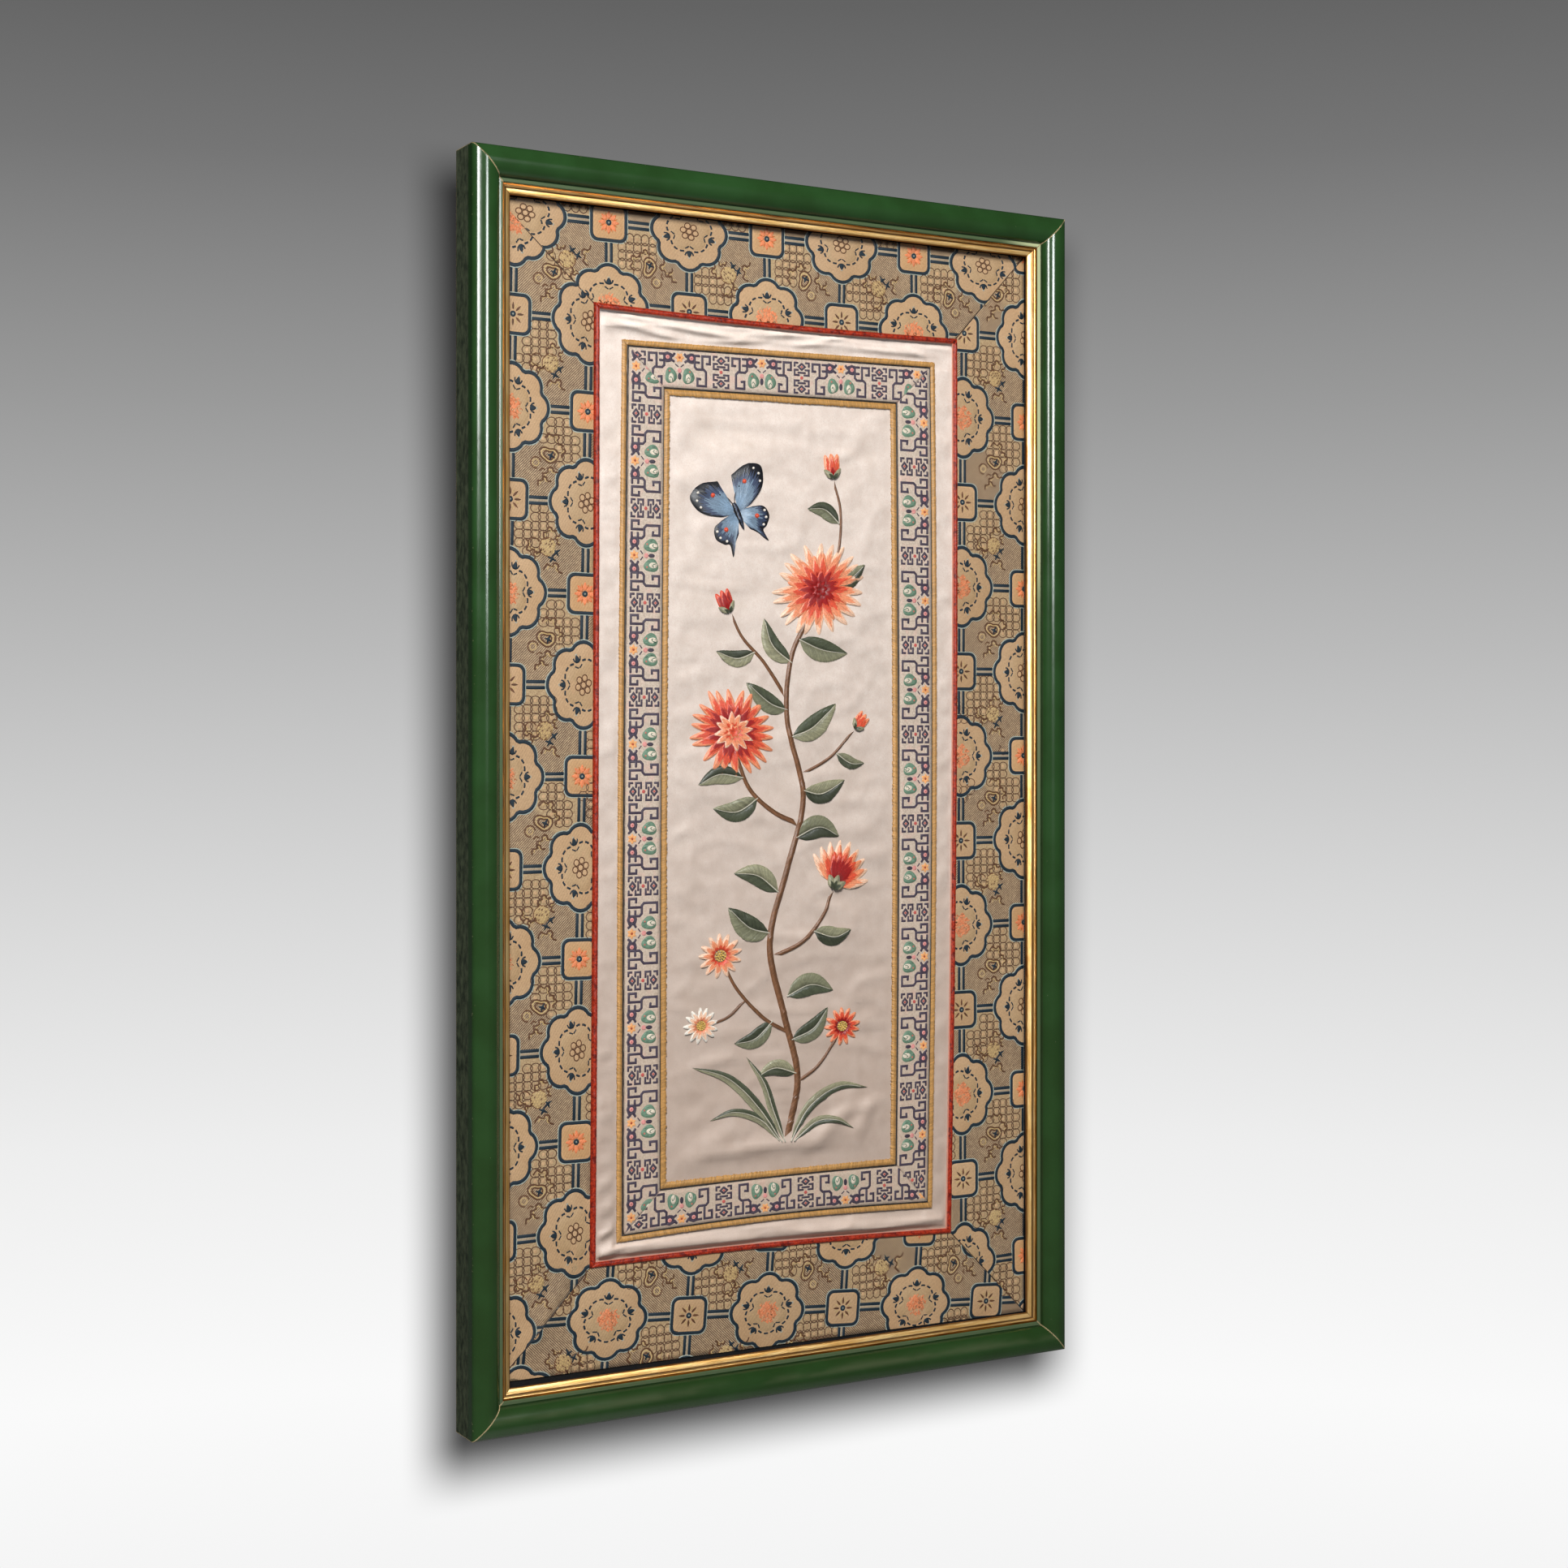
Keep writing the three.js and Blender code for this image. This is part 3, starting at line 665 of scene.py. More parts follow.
def paint_finish():
    """Glossy green paint, thin on the outer side and chipped at the edges and joints."""
    f = Finish("green_paint", Specular_IOR_Level=0.5)
    inset = rail_inset(f)
    clouds, fine = f.noise(30, 3), f.noise(1.6, 4, 0.65)
    green = f.blend(clouds.ramp(0.3, 0.7), rgb(35, 64, 30), rgb(40, 74, 37))
    # Painted shade: the green turns darker and duller towards the bottom of the frame.
    green = f.blend(f.z.ramp(120, -320) * 0.35, green, rgb(40, 58, 26))
    side = f.level.ramp(18.6, 16.4) * inset.ramp(1.5, 0.5)
    patches = f.noise(3.4, 5, 0.7, (1, 1, 0.5)).ramp(0.3, 0.7)
    color = f.blend(side * 0.95, green, f.blend(patches, rgb(32, 41, 27), rgb(88, 98, 74)))
    fillet = inset.ramp(16.9, 17.3) * f.level.ramp(20.0, 20.7)
    color = f.blend(fillet * 0.6, color, rgb(98, 112, 84))
    # A painted highlight on the right rail's fillet, strongest near its top.
    gleam = fillet * f.x.ramp(150, 180) * (f.z.ramp(95, 150) * 0.6 + f.z.ramp(-60, 60) * 0.15)
    color = f.blend(gleam, color, rgb(206, 214, 168))
    # A painted highlight, in patches, on the upper slope of the bottom rail.
    sheen_patches = f.noise(22, 3, 0.6, (0.3, 1, 1)).ramp(0.35, 0.6)
    ledge_sheen = f.z.ramp(-340, -347) * inset.ramp(7, 11) * sheen_patches
    color = f.blend(ledge_sheen * 0.4, color, rgb(104, 110, 84))
    # Painted shade in the groove between each rail's round and its fillet.
    groove_shade = inset.ramp(16.0, 16.6) * inset.ramp(17.4, 17.1)
    color = f.blend(groove_shade * 0.5, color, rgb(16, 30, 14))
    chips = f.noise(1.1, 2).ramp(0.78, 0.8) * f.noise(14, 2).ramp(0.56, 0.62) * 0.8
    edge = inset.ramp(1.6, 0.4) * f.level.ramp(20.5, 22.0) * f.noise(2.4, 3).ramp(0.66, 0.72) * 0.4
    worn = (chips + edge).least(1.0)
    color = f.blend(worn * 0.7, color, rgb(150, 146, 112))
    joint = mitre_line(f, 0.6) * f.noise(6, 2).ramp(0.3, 0.5, 0.35, 0.95)
    color = f.blend(joint, color, rgb(200, 180, 140))
    wood = f.blend(rail_grain(f, 1.3, 0.05).ramp(0.3, 0.7), rgb(112, 84, 52), rgb(158, 126, 84))
    f.color(f.blend(f.level.ramp(0.3, 0.1), color, wood))
    f.roughness((side * 0.7 + fine * 0.05 + clouds * 0.08 + worn * 0.4 + 0.1).least(0.95))
    f.bump(f.noise(9, 3, 0.6) * 0.6 + fine * (side * 0.5 + 0.03) + worn * -0.3, 0.12, 0.5)
    return f.material


def gilt_finish():
    """Gold leaf, worn to brown on the bead and along the sight edge, with painted shade in the
    groove beside the bead.
    """
    f = Finish("worn_gilt", Metallic=0.8)
    inset = rail_inset(f)
    along = rail_grain(f, 1.6, 0.06)
    gold = f.blend(along.ramp(0.3, 0.7), rgb(222, 166, 86), rgb(244, 210, 146))
    brown = f.blend(along.ramp(0.35, 0.65), rgb(104, 56, 12), rgb(176, 106, 30))
    rim = inset.ramp(20.5, 20.2)
    # Painted shade in the groove beside the bead.
    groove_shade = inset.ramp(21.0, 21.3) * inset.ramp(22.2, 21.8)
    lip = inset.ramp(24.1, 24.6)
    worn = f.noise(26, 4, 0.6).ramp(0.55, 0.7) * 0.35
    color = f.blend((rim + lip * 0.8 + worn).least(1.0), gold, brown)
    color = f.blend(groove_shade * 0.85, color, rgb(84, 42, 8))
    f.color(color)
    f.roughness(worn * 0.3 + along * 0.1 + 0.28)
    f.bump(along, 0.02, 0.4)
    return f.material


def board_finish():
    f = Finish("black_board", Roughness=0.9, Specular_IOR_Level=0.2)
    fibre = f.noise(1.4, 4, 0.7, (1, 1, 3))
    front = f.blend(fibre.ramp(0.3, 0.7), rgb(16, 16, 18), rgb(32, 31, 32))
    brown = f.blend(fibre.ramp(0.3, 0.7), rgb(112, 84, 56), rgb(142, 112, 78))
    brown = f.blend(f.noise(0.7, 2).ramp(0.6, 0.72) * 0.5, brown, rgb(88, 64, 42))
    brown = f.blend(f.noise(60, 3, 0.5).ramp(0.4, 0.7) * 0.16, brown, rgb(92, 68, 46))
    f.color(f.blend(f.level.ramp(8.0, 8.5), brown, front))
    f.bump(fibre, 0.12, 0.5)
    return f.material


def brocade_finish(turned):
    """The brocade's ground: a fine diagonal twill, and plain tan where the coin pattern lies."""
    f = cloth_finish(f"brocade_ground_{'across' if turned else 'upright'}", 0.62, 0.3, 0.2)
    diagonal = f.x + f.z if turned else f.x - f.z
    slub = f.noise(1.3, 3, 0.7)
    twill = (diagonal + slub * 1.1).sine(1.5) * 0.5 + 0.5
    picks = (f.x if turned else f.z).sine(0.62) * 0.5 + 0.5
    dark = f.blend(f.noise(18, 3).ramp(0.3, 0.7), rgb(92, 74, 60), rgb(116, 94, 72))
    pale = f.blend(slub.ramp(0.3, 0.7), rgb(176, 149, 118), rgb(206, 181, 146))
    ground = f.blend((twill * 0.7 + picks * 0.3).ramp(0.3, 0.75), dark, pale)
    mottle = f.noise(3.2, 3, 0.7).ramp(0.36, 0.64)
    ground = f.blend(mottle * 0.35, ground, rgb(104, 82, 66))
    tan = f.blend(f.noise(0.9, 4, 0.75).ramp(0.3, 0.7), rgb(146, 119, 88), rgb(192, 168, 130))
    f.color(f.blend(f.mask(), ground, tan))
    f.bump(twill * 0.5 + picks * 0.2 + slub * 0.3, 0.12, 0.7)
    return f.material


def figure_finish():
    """Woven figures of the brocade: their own tint with fine ribs of the weave."""
    f = cloth_finish("brocade_figures", 0.55, 0.3, 0.15)
    ribs = (f.x + f.z * 0.25).sine(0.7) * 0.5 + 0.5
    grain = f.noise(0.9, 4, 0.75)
    weave = (ribs * 0.35 + grain * 0.65).ramp(0.25, 0.75)
    shade = f.blend(weave, (0.66, 0.64, 0.62), (1.18, 1.18, 1.18))
    darker = f.blend(1.0, shade, (0.93, 0.9, 0.86), "MULTIPLY")
    shade = f.blend(f.noise(30, 3).ramp(0.35, 0.65), shade, darker)
    f.color(f.blend(1.0, f.tint(), shade, "MULTIPLY"))
    f.bump(ribs * 0.4 + grain * 0.6, 0.1, 0.7)
    return f.material


def piping_finish():
    """Red satin, darker in blotches, whose tint marks its pale selvedge."""
    f = cloth_finish("red_piping", 0.36, 0.35, 0.06, 0.35)
    blotch = f.noise(3.6, 4, 0.65).ramp(0.53, 0.62)
    fine = f.noise(1.3, 4, 0.75)
    red = f.blend(fine.ramp(0.35, 0.65), rgb(118, 18, 8), rgb(186, 58, 28))
    red = f.blend(blotch * 0.8, red, rgb(84, 8, 6))
    f.color(f.blend(f.mask(), red, rgb(232, 168, 148)))
    f.bump(f.noise(0.8, 4, 0.75) * 0.8 + blotch * -0.4, 0.25, 0.6)
    return f.material


def satin_finish():
    """Cream satin, mottled by handling, with painted shade that makes it darker and browner towards
    its lower end and along its lower hem.
    """
    f = cloth_finish("cream_satin", 0.36, 0.6, 0.15, 0.3)
    clouds = f.noise(8, 4, 0.65)
    color = f.blend(clouds.ramp(0.3, 0.7), rgb(220, 205, 195), rgb(235, 222, 213))
    color = f.blend(f.noise(34, 3, 0.55).ramp(0.5, 0.72) * 0.3, color, rgb(210, 194, 180))
    # Painted shade: darker and browner towards the lower end.
    color = f.blend((f.z.ramp(120, -240) * 0.6).least(0.55), color, rgb(190, 162, 142))
    # Painted shade along the lower hem, warmed as a painted reflection of the red piping.
    hem_shade = (f.z + f.x * 0.022 + 273.9).ramp(8.5, 2)
    color = f.blend(hem_shade * 0.45, color, rgb(150, 112, 84))
    grain = f.noise(0.7, 4, 0.8, (1.5, 1, 0.9))
    color = f.blend(grain.ramp(0.35, 0.5) * -0.4 + 0.4, color, rgb(192, 170, 156))
    color = f.blend(f.noise(2.0, 3, 0.75).ramp(0.42, 0.6) * 0.3, color, rgb(206, 182, 168))
    f.color(color)
    weave = f.x.sine(0.5) * f.z.sine(0.5)
    f.bump(grain * 0.8 + weave * 0.2, 0.13, 0.7)
    f.roughness(clouds * 0.14 + 0.28)
    return f.material


def ribbon_finish():
    f = cloth_finish("woven_ribbon", 0.55, 0.3, 0.2)
    ribs = f.x.sine(0.8).most(f.z.sine(0.8) * 0.7)
    grain = f.noise(1.0, 4, 0.75)
    color = f.blend(grain.ramp(0.3, 0.7), rgb(182, 164, 148), rgb(216, 201, 186))
    color = f.blend(f.noise(5, 3).ramp(0.5, 0.7) * 0.45, color, rgb(222, 180, 168))
    # Painted shade: darker and browner towards the bottom.
    f.color(f.blend(f.z.ramp(60, -260) * 0.35, color, rgb(184, 160, 136)))
    f.bump(ribs * 0.3 + grain * 0.6, 0.14, 0.7)
    return f.material


def thread_finish(name, rough, sheen):
    """Silk thread in its own tint, a little uneven along its length."""
    f = cloth_finish(name, rough, 0.5, sheen, 0.35)
    grain = f.noise(1.1, 4, 0.75)
    shade = f.blend(grain.ramp(0.25, 0.75), (0.76, 0.76, 0.75), (1.14, 1.14, 1.14))
    f.color(f.blend(1.0, f.tint(), shade, "MULTIPLY"))
    f.bump(f.noise(0.45, 3, 0.75), 0.08, 0.6)
    return f.material


def floor_finish():
    """A pale floor that thins out away from the panel, so that no edge of it shows."""
    f = Finish("pale_floor", Roughness=0.85, Specular_IOR_Level=0.15)
    f.color(f.blend(f.noise(240, 3).ramp(0.3, 0.7), rgb(238, 238, 238), rgb(244, 244, 244)))
    radius = (f.x * f.x + f.y * f.y).math("SQRT")
    f.alpha(radius.ramp(380, 1150, 1.0, 0.0))
    return f.material


def wall_finish():
    """The panel's soft shadow on the wall. It shows only from the front."""
    f = Finish("backdrop", Roughness=1.0, Specular_IOR_Level=0.0)
    f.shader.inputs["Base Color"].default_value = (0, 0, 0, 1)
    level = (f.x * -1).ramp(233, 192) * f.x.ramp(244, 186)
    upright = (f.z * -1).ramp(404, 360) * f.z.ramp(364, 330)
    seen = f.tree.nodes.new("ShaderNodeNewGeometry")
    front = 1 - Value(f.tree, seen.outputs["Backfacing"])
    f.alpha(level * upright * front * 0.93)
    return f.material


# The frame keeps its solids. Their curved faces get smooth shading.


SMOOTH_BEND = 38


def smooth_solid(solid):
    """Shades across edges that bend by less than this, with no change to the mesh's points."""
    mesh = solid.data
    limit = math.cos(math.radians(SMOOTH_BEND))
    keys = [tuple(round(c * 1e5) for c in v.co) for v in mesh.vertices]
    around = {}
    for face in mesh.polygons:
        for corner in face.vertices:
            around.setdefault(keys[corner], []).append((face.normal.copy(), face.area))
    normals = []
    for face in mesh.polygons:
        for corner in face.vertices:
            total = Vector((0, 0, 0))
            for normal, area in around[keys[corner]]:
                if normal.dot(face.normal) > limit:
                    total += normal * area
            normals.append(total.normalized())
    mesh.polygons.foreach_set("use_smooth", np.ones(len(mesh.polygons), bool))
    mesh.normals_split_custom_set(normals)


def refinish(node, material):
    nodes[node].data.materials.clear()
    nodes[node].data.materials.append(material)


def dress_frame():
    paint, gilt = paint_finish(), gilt_finish()
    for side in SIDES:
        for kind, material in (("rail", paint), ("slip", gilt)):
            refinish(f"{kind}_{side}", material)
            smooth_solid(nodes[f"{kind}_{side}"])
    refinish("backing_board", board_finish())


# Brocade

TAN = rgb(192, 160, 124)
DEEP_BLUE = rgb(25, 43, 56)
PALE_BLUE = rgb(166, 178, 172)
BROWN = rgb(104, 70, 46)
SALMON = rgb(232, 140, 96)
ORANGE = rgb(222, 120, 50)
YELLOW = rgb(200, 174, 122)

MEDALLION_SIZE = (25.0, 23.0)  # half its size along and across the strip
SQUARE_SIZE = (11.2, 10.5)


def polar(radius_at, count, start=0.0, sweep=2 * math.pi):
    angles = start + np.arange(count) * sweep / count
    radius = radius_at(angles)
    return np.stack([radius * np.cos(angles), radius * np.sin(angles)], -1)


def lobed_radius(angles):
    """The outline of eight lobes, with its largest radius 1."""
    off = (angles + np.pi / 8) % (np.pi / 4) - np.pi / 8
    return (15.6 * np.cos(off) + np.sqrt(8.6**2 - (15.6 * np.sin(off)) ** 2)) / 24.2


def cusped_radius(angles):
    """The dashed ring: five bumps with cusps at angle 0 and every 72 degrees on."""
    return 10.6 + 3.2 * np.abs(np.sin(2.5 * angles)) ** 0.7


def rounded_square(half_x, half_z, corner):
    parts = []
    for start, (sx, sz) in zip((0, 90, 180, 270), ((1, 1), (-1, 1), (-1, -1), (1, -1))):
        angles = np.radians(start + np.linspace(0, 90, 5))
        center = np.array([sx * (half_x - corner), sz * (half_z - corner)])
        parts.append(center + corner * np.stack([np.cos(angles), np.sin(angles)], -1))
    return np.concatenate(parts)


def petal_outline(start, length, half_width, angle):
    """A drop-shaped outline from a distance out along an angle."""
    t = np.linspace(0, 1, 9)
    half = half_width * np.sin(np.pi * t**0.75) ** 0.8
    side = np.stack([start + length * t, half], -1)
    shape = np.concatenate([side, side[-2:0:-1] * [1, -1]])
    return shape @ rotation(angle)


def medallion(rosette, random):
    """A lobed medallion with one sprig along +x."""
    made = Threads()
    outline = polar(lobed_radius, 72) * MEDALLION_SIZE
    made.add(fill(outline * 0.985, 0.07), TAN * 1.04)
    made.add(stroke(outline * 1.03, 0.8, 0.08, True), PALE_BLUE)
    made.add(stroke(outline * 0.975, 2.5, 0.2, True), DEEP_BLUE)
    made.add(fill(polar(cusped_radius, 60) * 0.94, 0.1), TAN * np.array([0.97, 1.0, 0.98]))
    for bump in range(5):
        for dash in range(3):
            begin = math.radians(72 * bump + 14 + dash * 17)
            path = polar(cusped_radius, 4, begin, math.radians(12.5))
            made.add(stroke(path, 1.45, 0.2), DEEP_BLUE)
        turn = math.radians(72 * bump)
        turned = rotation(turn)
        made.add(fill(petal_outline(11.9, 4.5, 1.5, turn), 0.2), DEEP_BLUE)
        for z in (-1, 1):
            outer = np.array([[12.4, 0.6 * z], [13.4, 1.9 * z], [15.0, 2.5 * z]])
            inner = np.array([[9.3, 0.3 * z], [10.7, 2.4 * z]])
            made.add(stroke(outer @ turned, 1.15, 0.18), DEEP_BLUE)
            made.add(stroke(inner @ turned, 1.1, 0.18), DEEP_BLUE)
        tip = np.array([[16.2, -0.8], [16.8, 0.0], [16.2, 0.8]])
        made.add(stroke(tip @ turned, 0.55, 0.16), PALE_BLUE)
    if rosette:
        for place in (*circle((0, 0), 3.75, 6, 0.3), (0, 0)):
            made.add(fill(circle(place, 1.7, 10), 0.12), TAN * 1.12)
            made.add(stroke(circle(place, 1.75, 12), 0.85, 0.2, True), BROWN * 0.85)
    else:
        made.add(fill(polar(lambda a: 5.6 + 0.8 * np.sin(5 * a), 30), 0.11), mix(TAN, SALMON, 0.8))
        for _ in range(80):
            angle, radius = random.uniform(0, 2 * np.pi), 6.6 * random.uniform(0.02, 1) ** 0.55
            x, z = radius * math.cos(angle), radius * math.sin(angle)
            bend, lean = random.uniform(0.5, 1.2), random.uniform(-0.6, 0.6)
            path = [[x - bend, z - 0.4 - lean], [x, z + 0.4], [x + bend, z - 0.2 + lean]]
            tone = mix(SALMON, TAN, random.choice([0, 0, 0.2, 0.8])) * random.uniform(0.8, 1.15)
            made.add(stroke(path, random.uniform(0.7, 1.2), 0.18), tone)
    return made


def square(orange, random):
    made = Threads()
    outline = rounded_square(*SQUARE_SIZE, 4.2)
    scale = 1 / np.array(SQUARE_SIZE)
    made.add(stroke(outline * (1 + 0.75 * scale), 0.7, 0.08, True), PALE_BLUE)
    ground = TAN * (np.array([1.1, 1.0, 0.86]) if orange else 1.04)
    made.add(fill(outline * (1 - 0.5 * scale), 0.08), ground)
    made.add(stroke(outline * (1 - 0.4 * scale), 2.4, 0.2, True), DEEP_BLUE)
    made.add(stroke(outline * (1 - 1.9 * scale), 0.6, 0.12, True), TAN * 1.2)
    for petal in range(8):
        angle = petal * np.pi / 4
        if orange:
            tone = SALMON * random.uniform(0.9, 1.15)
            made.add(fill(petal_outline(1.6, 5.2, 1.3, angle), 0.14, 0.08), tone)
            made.add(fill(petal_outline(2.4, 3.8, 0.6, angle), 0.2), ORANGE)
            made.add(fill(petal_outline(3.4, 2.6, 0.35, angle + 0.39), 0.2), ORANGE * 0.8)
        else:
            tone = BROWN * random.uniform(0.7, 1.2)
            made.add(fill(petal_outline(2.4, 4.4, 0.65, angle), 0.18), tone)
            made.add(fill(petal_outline(3.2, 3.2, 0.4, angle + 0.39), 0.16), YELLOW)
    made.add(fill(circle((0, 0), 1.8, 12), 0.2, 0.1), DEEP_BLUE * 1.2)
    made.add(fill(circle((0, 0), 0.6, 8), 0.32), PALE_BLUE * 0.7)
    return made


def double_bar(length):
    """Two dark lines along x with a pale one between them."""
    made = Threads()
    lines = (
        (0, 5.8, 0.08, mix(TAN, PALE_BLUE, 0.6)), (0, 1.5, 0.12, mix(TAN, PALE_BLUE, 0.3) * 0.85),
        (-1.6, 2.3, 0.2, DEEP_BLUE), (1.6, 2.3, 0.2, DEEP_BLUE),
    )
    for z, width, height, color in lines:
        made.add(stroke([[-length / 2, z], [length / 2, z]], width, height), color)
    return made


def leaf_ticks(made, place, turn):
    """Two dark leaves that cross."""
    turned = rotation(math.radians(turn))
    for path in ([[-2.2, -1.4], [0, 0.2], [2.6, 1.2]], [[-1.2, 1.8], [0.1, 0], [0.8, -2.2]]):
        made.add(stroke(np.array(path) @ turned + place, [0.7, 1.8, 0.7], 0.2), DEEP_BLUE)


def cloud(made, place, size, turn):
    """A curled line like a small cloud."""
    turned = rotation(math.radians(turn)) * size
    path = curve([[-1.2, -0.3], [-0.9, 0.5], [-0.2, 0.2], [0.1, 0.8], [0.7, 0.6], [0.6, -0.1],
                  [1.3, -0.3]], 11)
    made.add(stroke(path @ turned + place, 1.15, 0.18), BROWN * 0.85)
    made.add(stroke(path @ (turned * 0.62) + place, 0.6, 0.16), YELLOW)


def dotted_fruit(random):
    made = Threads()
    outline = polar(lambda a: 4.9 + 0.3 * np.sin(3 * a), 20)
    made.add(fill(outline, 0.08), mix(TAN, YELLOW, 0.6) * 0.85)
    for row in range(-3, 4):
        for column in range(-3, 4):
            x, z = column * 1.7 + (row % 2) * 0.85, row * 1.5
            if math.hypot(x, z) < 4.9:
                tone = random.choice([0, 1, 1])
                x, z = x + random.uniform(-0.3, 0.3), z + random.uniform(-0.3, 0.3)
                seed = stroke([[x - 0.4, z - 0.3], [x + 0.3, z + 0.4]], 0.75, 0.2)
                made.add(seed, (BROWN, YELLOW * 1.1)[tone])
    made.add(stroke(circle((0, 0), 5.2, 20, 0.8)[:14], 0.6, 0.18), BROWN * 1.3)
    leaf_ticks(made, (5.4, -3.0), 10)
    leaf_ticks(made, (2.6, -6.6), -50)
    cloud(made, (3.2, -12.4), 4.6, -8)
    cloud(made, (-9.2, 0.0), 4.6, 150)
    cloud(made, (-6.4, -5.6), 3.4, 70)
    made.add(stroke(circle((-8.6, 1.6), 3.4, 14, 0.4)[:11], 0.8, 0.18), BROWN)
    cloud(made, (1.0, 8.0), 3.6, 30)
    cloud(made, (6.8, 4.4), 2.6, 90)
    return made


def twin_fruit(random):
    made = Threads()
    heart = polar(lambda a: 4.4 + 0.9 * np.cos(2 * a + 0.5) + 0.5 * np.sin(3 * a), 30)
    for outline in (heart * 1.1, heart * 0.6):
        made.add(stroke(outline, 1.05, 0.19, True), BROWN * 0.85)
    made.add(stroke(heart * 0.86, 0.7, 0.15, True), YELLOW * random.uniform(0.95, 1.1))
    leaf_ticks(made, (1.2, -0.4), 40)
    made.add(stroke(circle((-8.2, -4.6), 3.2, 16, 0.2)[:13], 0.85, 0.18), BROWN)
    made.add(stroke(circle((-8.2, -4.6), 1.9, 12), 0.6, 0.16, True), YELLOW)
    cloud(made, (2.6, 9.0), 4.2, -20)
    cloud(made, (7.4, 3.0), 3.0, -70)
    cloud(made, (0.4, -10.6), 4.4, 28)
    cloud(made, (-3.4, -15.2), 3.4, 20)
    made.add(stroke([[-6.0, -9.0], [-4.4, -7.6], [-2.6, -8.4]], 0.9, 0.18), BROWN)
    return made


# The lattice of each strip: its first knot, the steps along and across it (outwards to inwards),
# the knots along it, which sum of two indices has the medallions (also the row whose medallions
# hold a rosette), and the turn of the small fruit.
LATTICES = {
    side: dict(zip(("first", "along", "across", "knots", "medallions", "fruit_turn"), values))
    for side, *values in (
        (TOP, (-162.8, 323), (51.65, 0), (0, -46.5), (-1, 8), 0, 90),
        (RIGHT, (177.6, 280), (0, -52.4), (-47.4, 0), (-2, 14), 0, 0),
        (BOTTOM, (-164.2, -297.5), (52.2, -4.05), (3.2, 46.5), (-1, 8), 1, 85),
        (LEFT, (-170.2, 266), (-0.9, -51.65), (46.8, 0), (-2, 14), 1, 0),
    )
}
LATTICE_ROWS = (-1, 3)
COIN_PITCH = 4.9
COIN = rgb(98, 70, 52)


def drift(side, x, z):
    """How far the cloth's pattern strays from its lattice."""
    if side == RIGHT:
        return 2.4 * ((z + 10) / 290) ** 2, 0 * z
    if side == TOP:
        return 0 * x, 2.8 * np.exp(-(((x - 45) / 55) ** 2))
    return 0 * x, 0 * z


def knot_place(side, k, j):
    first, along, across = (LATTICES[side][key] for key in ("first", "along", "across"))
    x, z = (start + step * k + row * j for start, step, row in zip(first, along, across))
    dx, dz = drift(side, x, z)
    return np.array([x + dx, z + dz], float)


def is_medallion(side, k, j):
    return (k + j) % 2 == LATTICES[side]["medallions"]


def lattice_shares(side, x, z):
    """Where points lie in the lattice, in steps along and across."""
    lattice = LATTICES[side]
    dx, dz = drift(side, x, z)
    steps = np.array([lattice["along"], lattice["across"]], float).T
    inverse = np.linalg.inv(steps)
    px, pz = x - dx - lattice["first"][0], z - dz - lattice["first"][1]
    return inverse[0, 0] * px + inverse[0, 1] * pz, inverse[1, 0] * px + inverse[1, 1] * pz


def coin_zone(side, x, z):
    """How deep points lie in the halves of the cells that carry the coin pattern, in steps."""
    a, b = lattice_shares(side, x, z)
    k, j = np.floor(a), np.floor(b)
    fa, fb = a - k, b - j
    depth = np.where(is_medallion(side, k, j), fb - fa, 1 - fa - fb)
    return np.where(j % 2 == 0, depth, -depth)


def clear_of_figures(side, x, z, gap):
    """True where points lie clear of medallions, squares, bars and fruit."""
    a, b = lattice_shares(side, x, z)
    k, j = np.round(a), np.round(b)
    lattice = LATTICES[side]
    length_a, length_b = math.hypot(*lattice["along"]), math.hypot(*lattice["across"])
    off_a, off_b = (a - k) * length_a, (b - j) * length_b
    radius = np.hypot(off_a / MEDALLION_SIZE[0], off_b / MEDALLION_SIZE[1])
    angle = np.arctan2(off_b / MEDALLION_SIZE[1], off_a / MEDALLION_SIZE[0])
    clear_medallion = (radius - lobed_radius(angle)) * MEDALLION_SIZE[1] > gap
    clear_square = (np.abs(off_a) > SQUARE_SIZE[0] + gap) | (np.abs(off_b) > SQUARE_SIZE[1] + gap)
    clear_bars = (np.abs(off_a) > 3.0 + gap) & (np.abs(off_b) > 3.0 + gap)
    centre_a, centre_b = a - np.floor(a) - 0.5, b - np.floor(b) - 0.5
    clear_fruit = np.hypot(centre_a * length_a, centre_b * length_b) > 5.6
    clear_knot = np.where(is_medallion(side, k, j), clear_medallion, clear_square)
    return clear_knot & clear_bars & clear_fruit


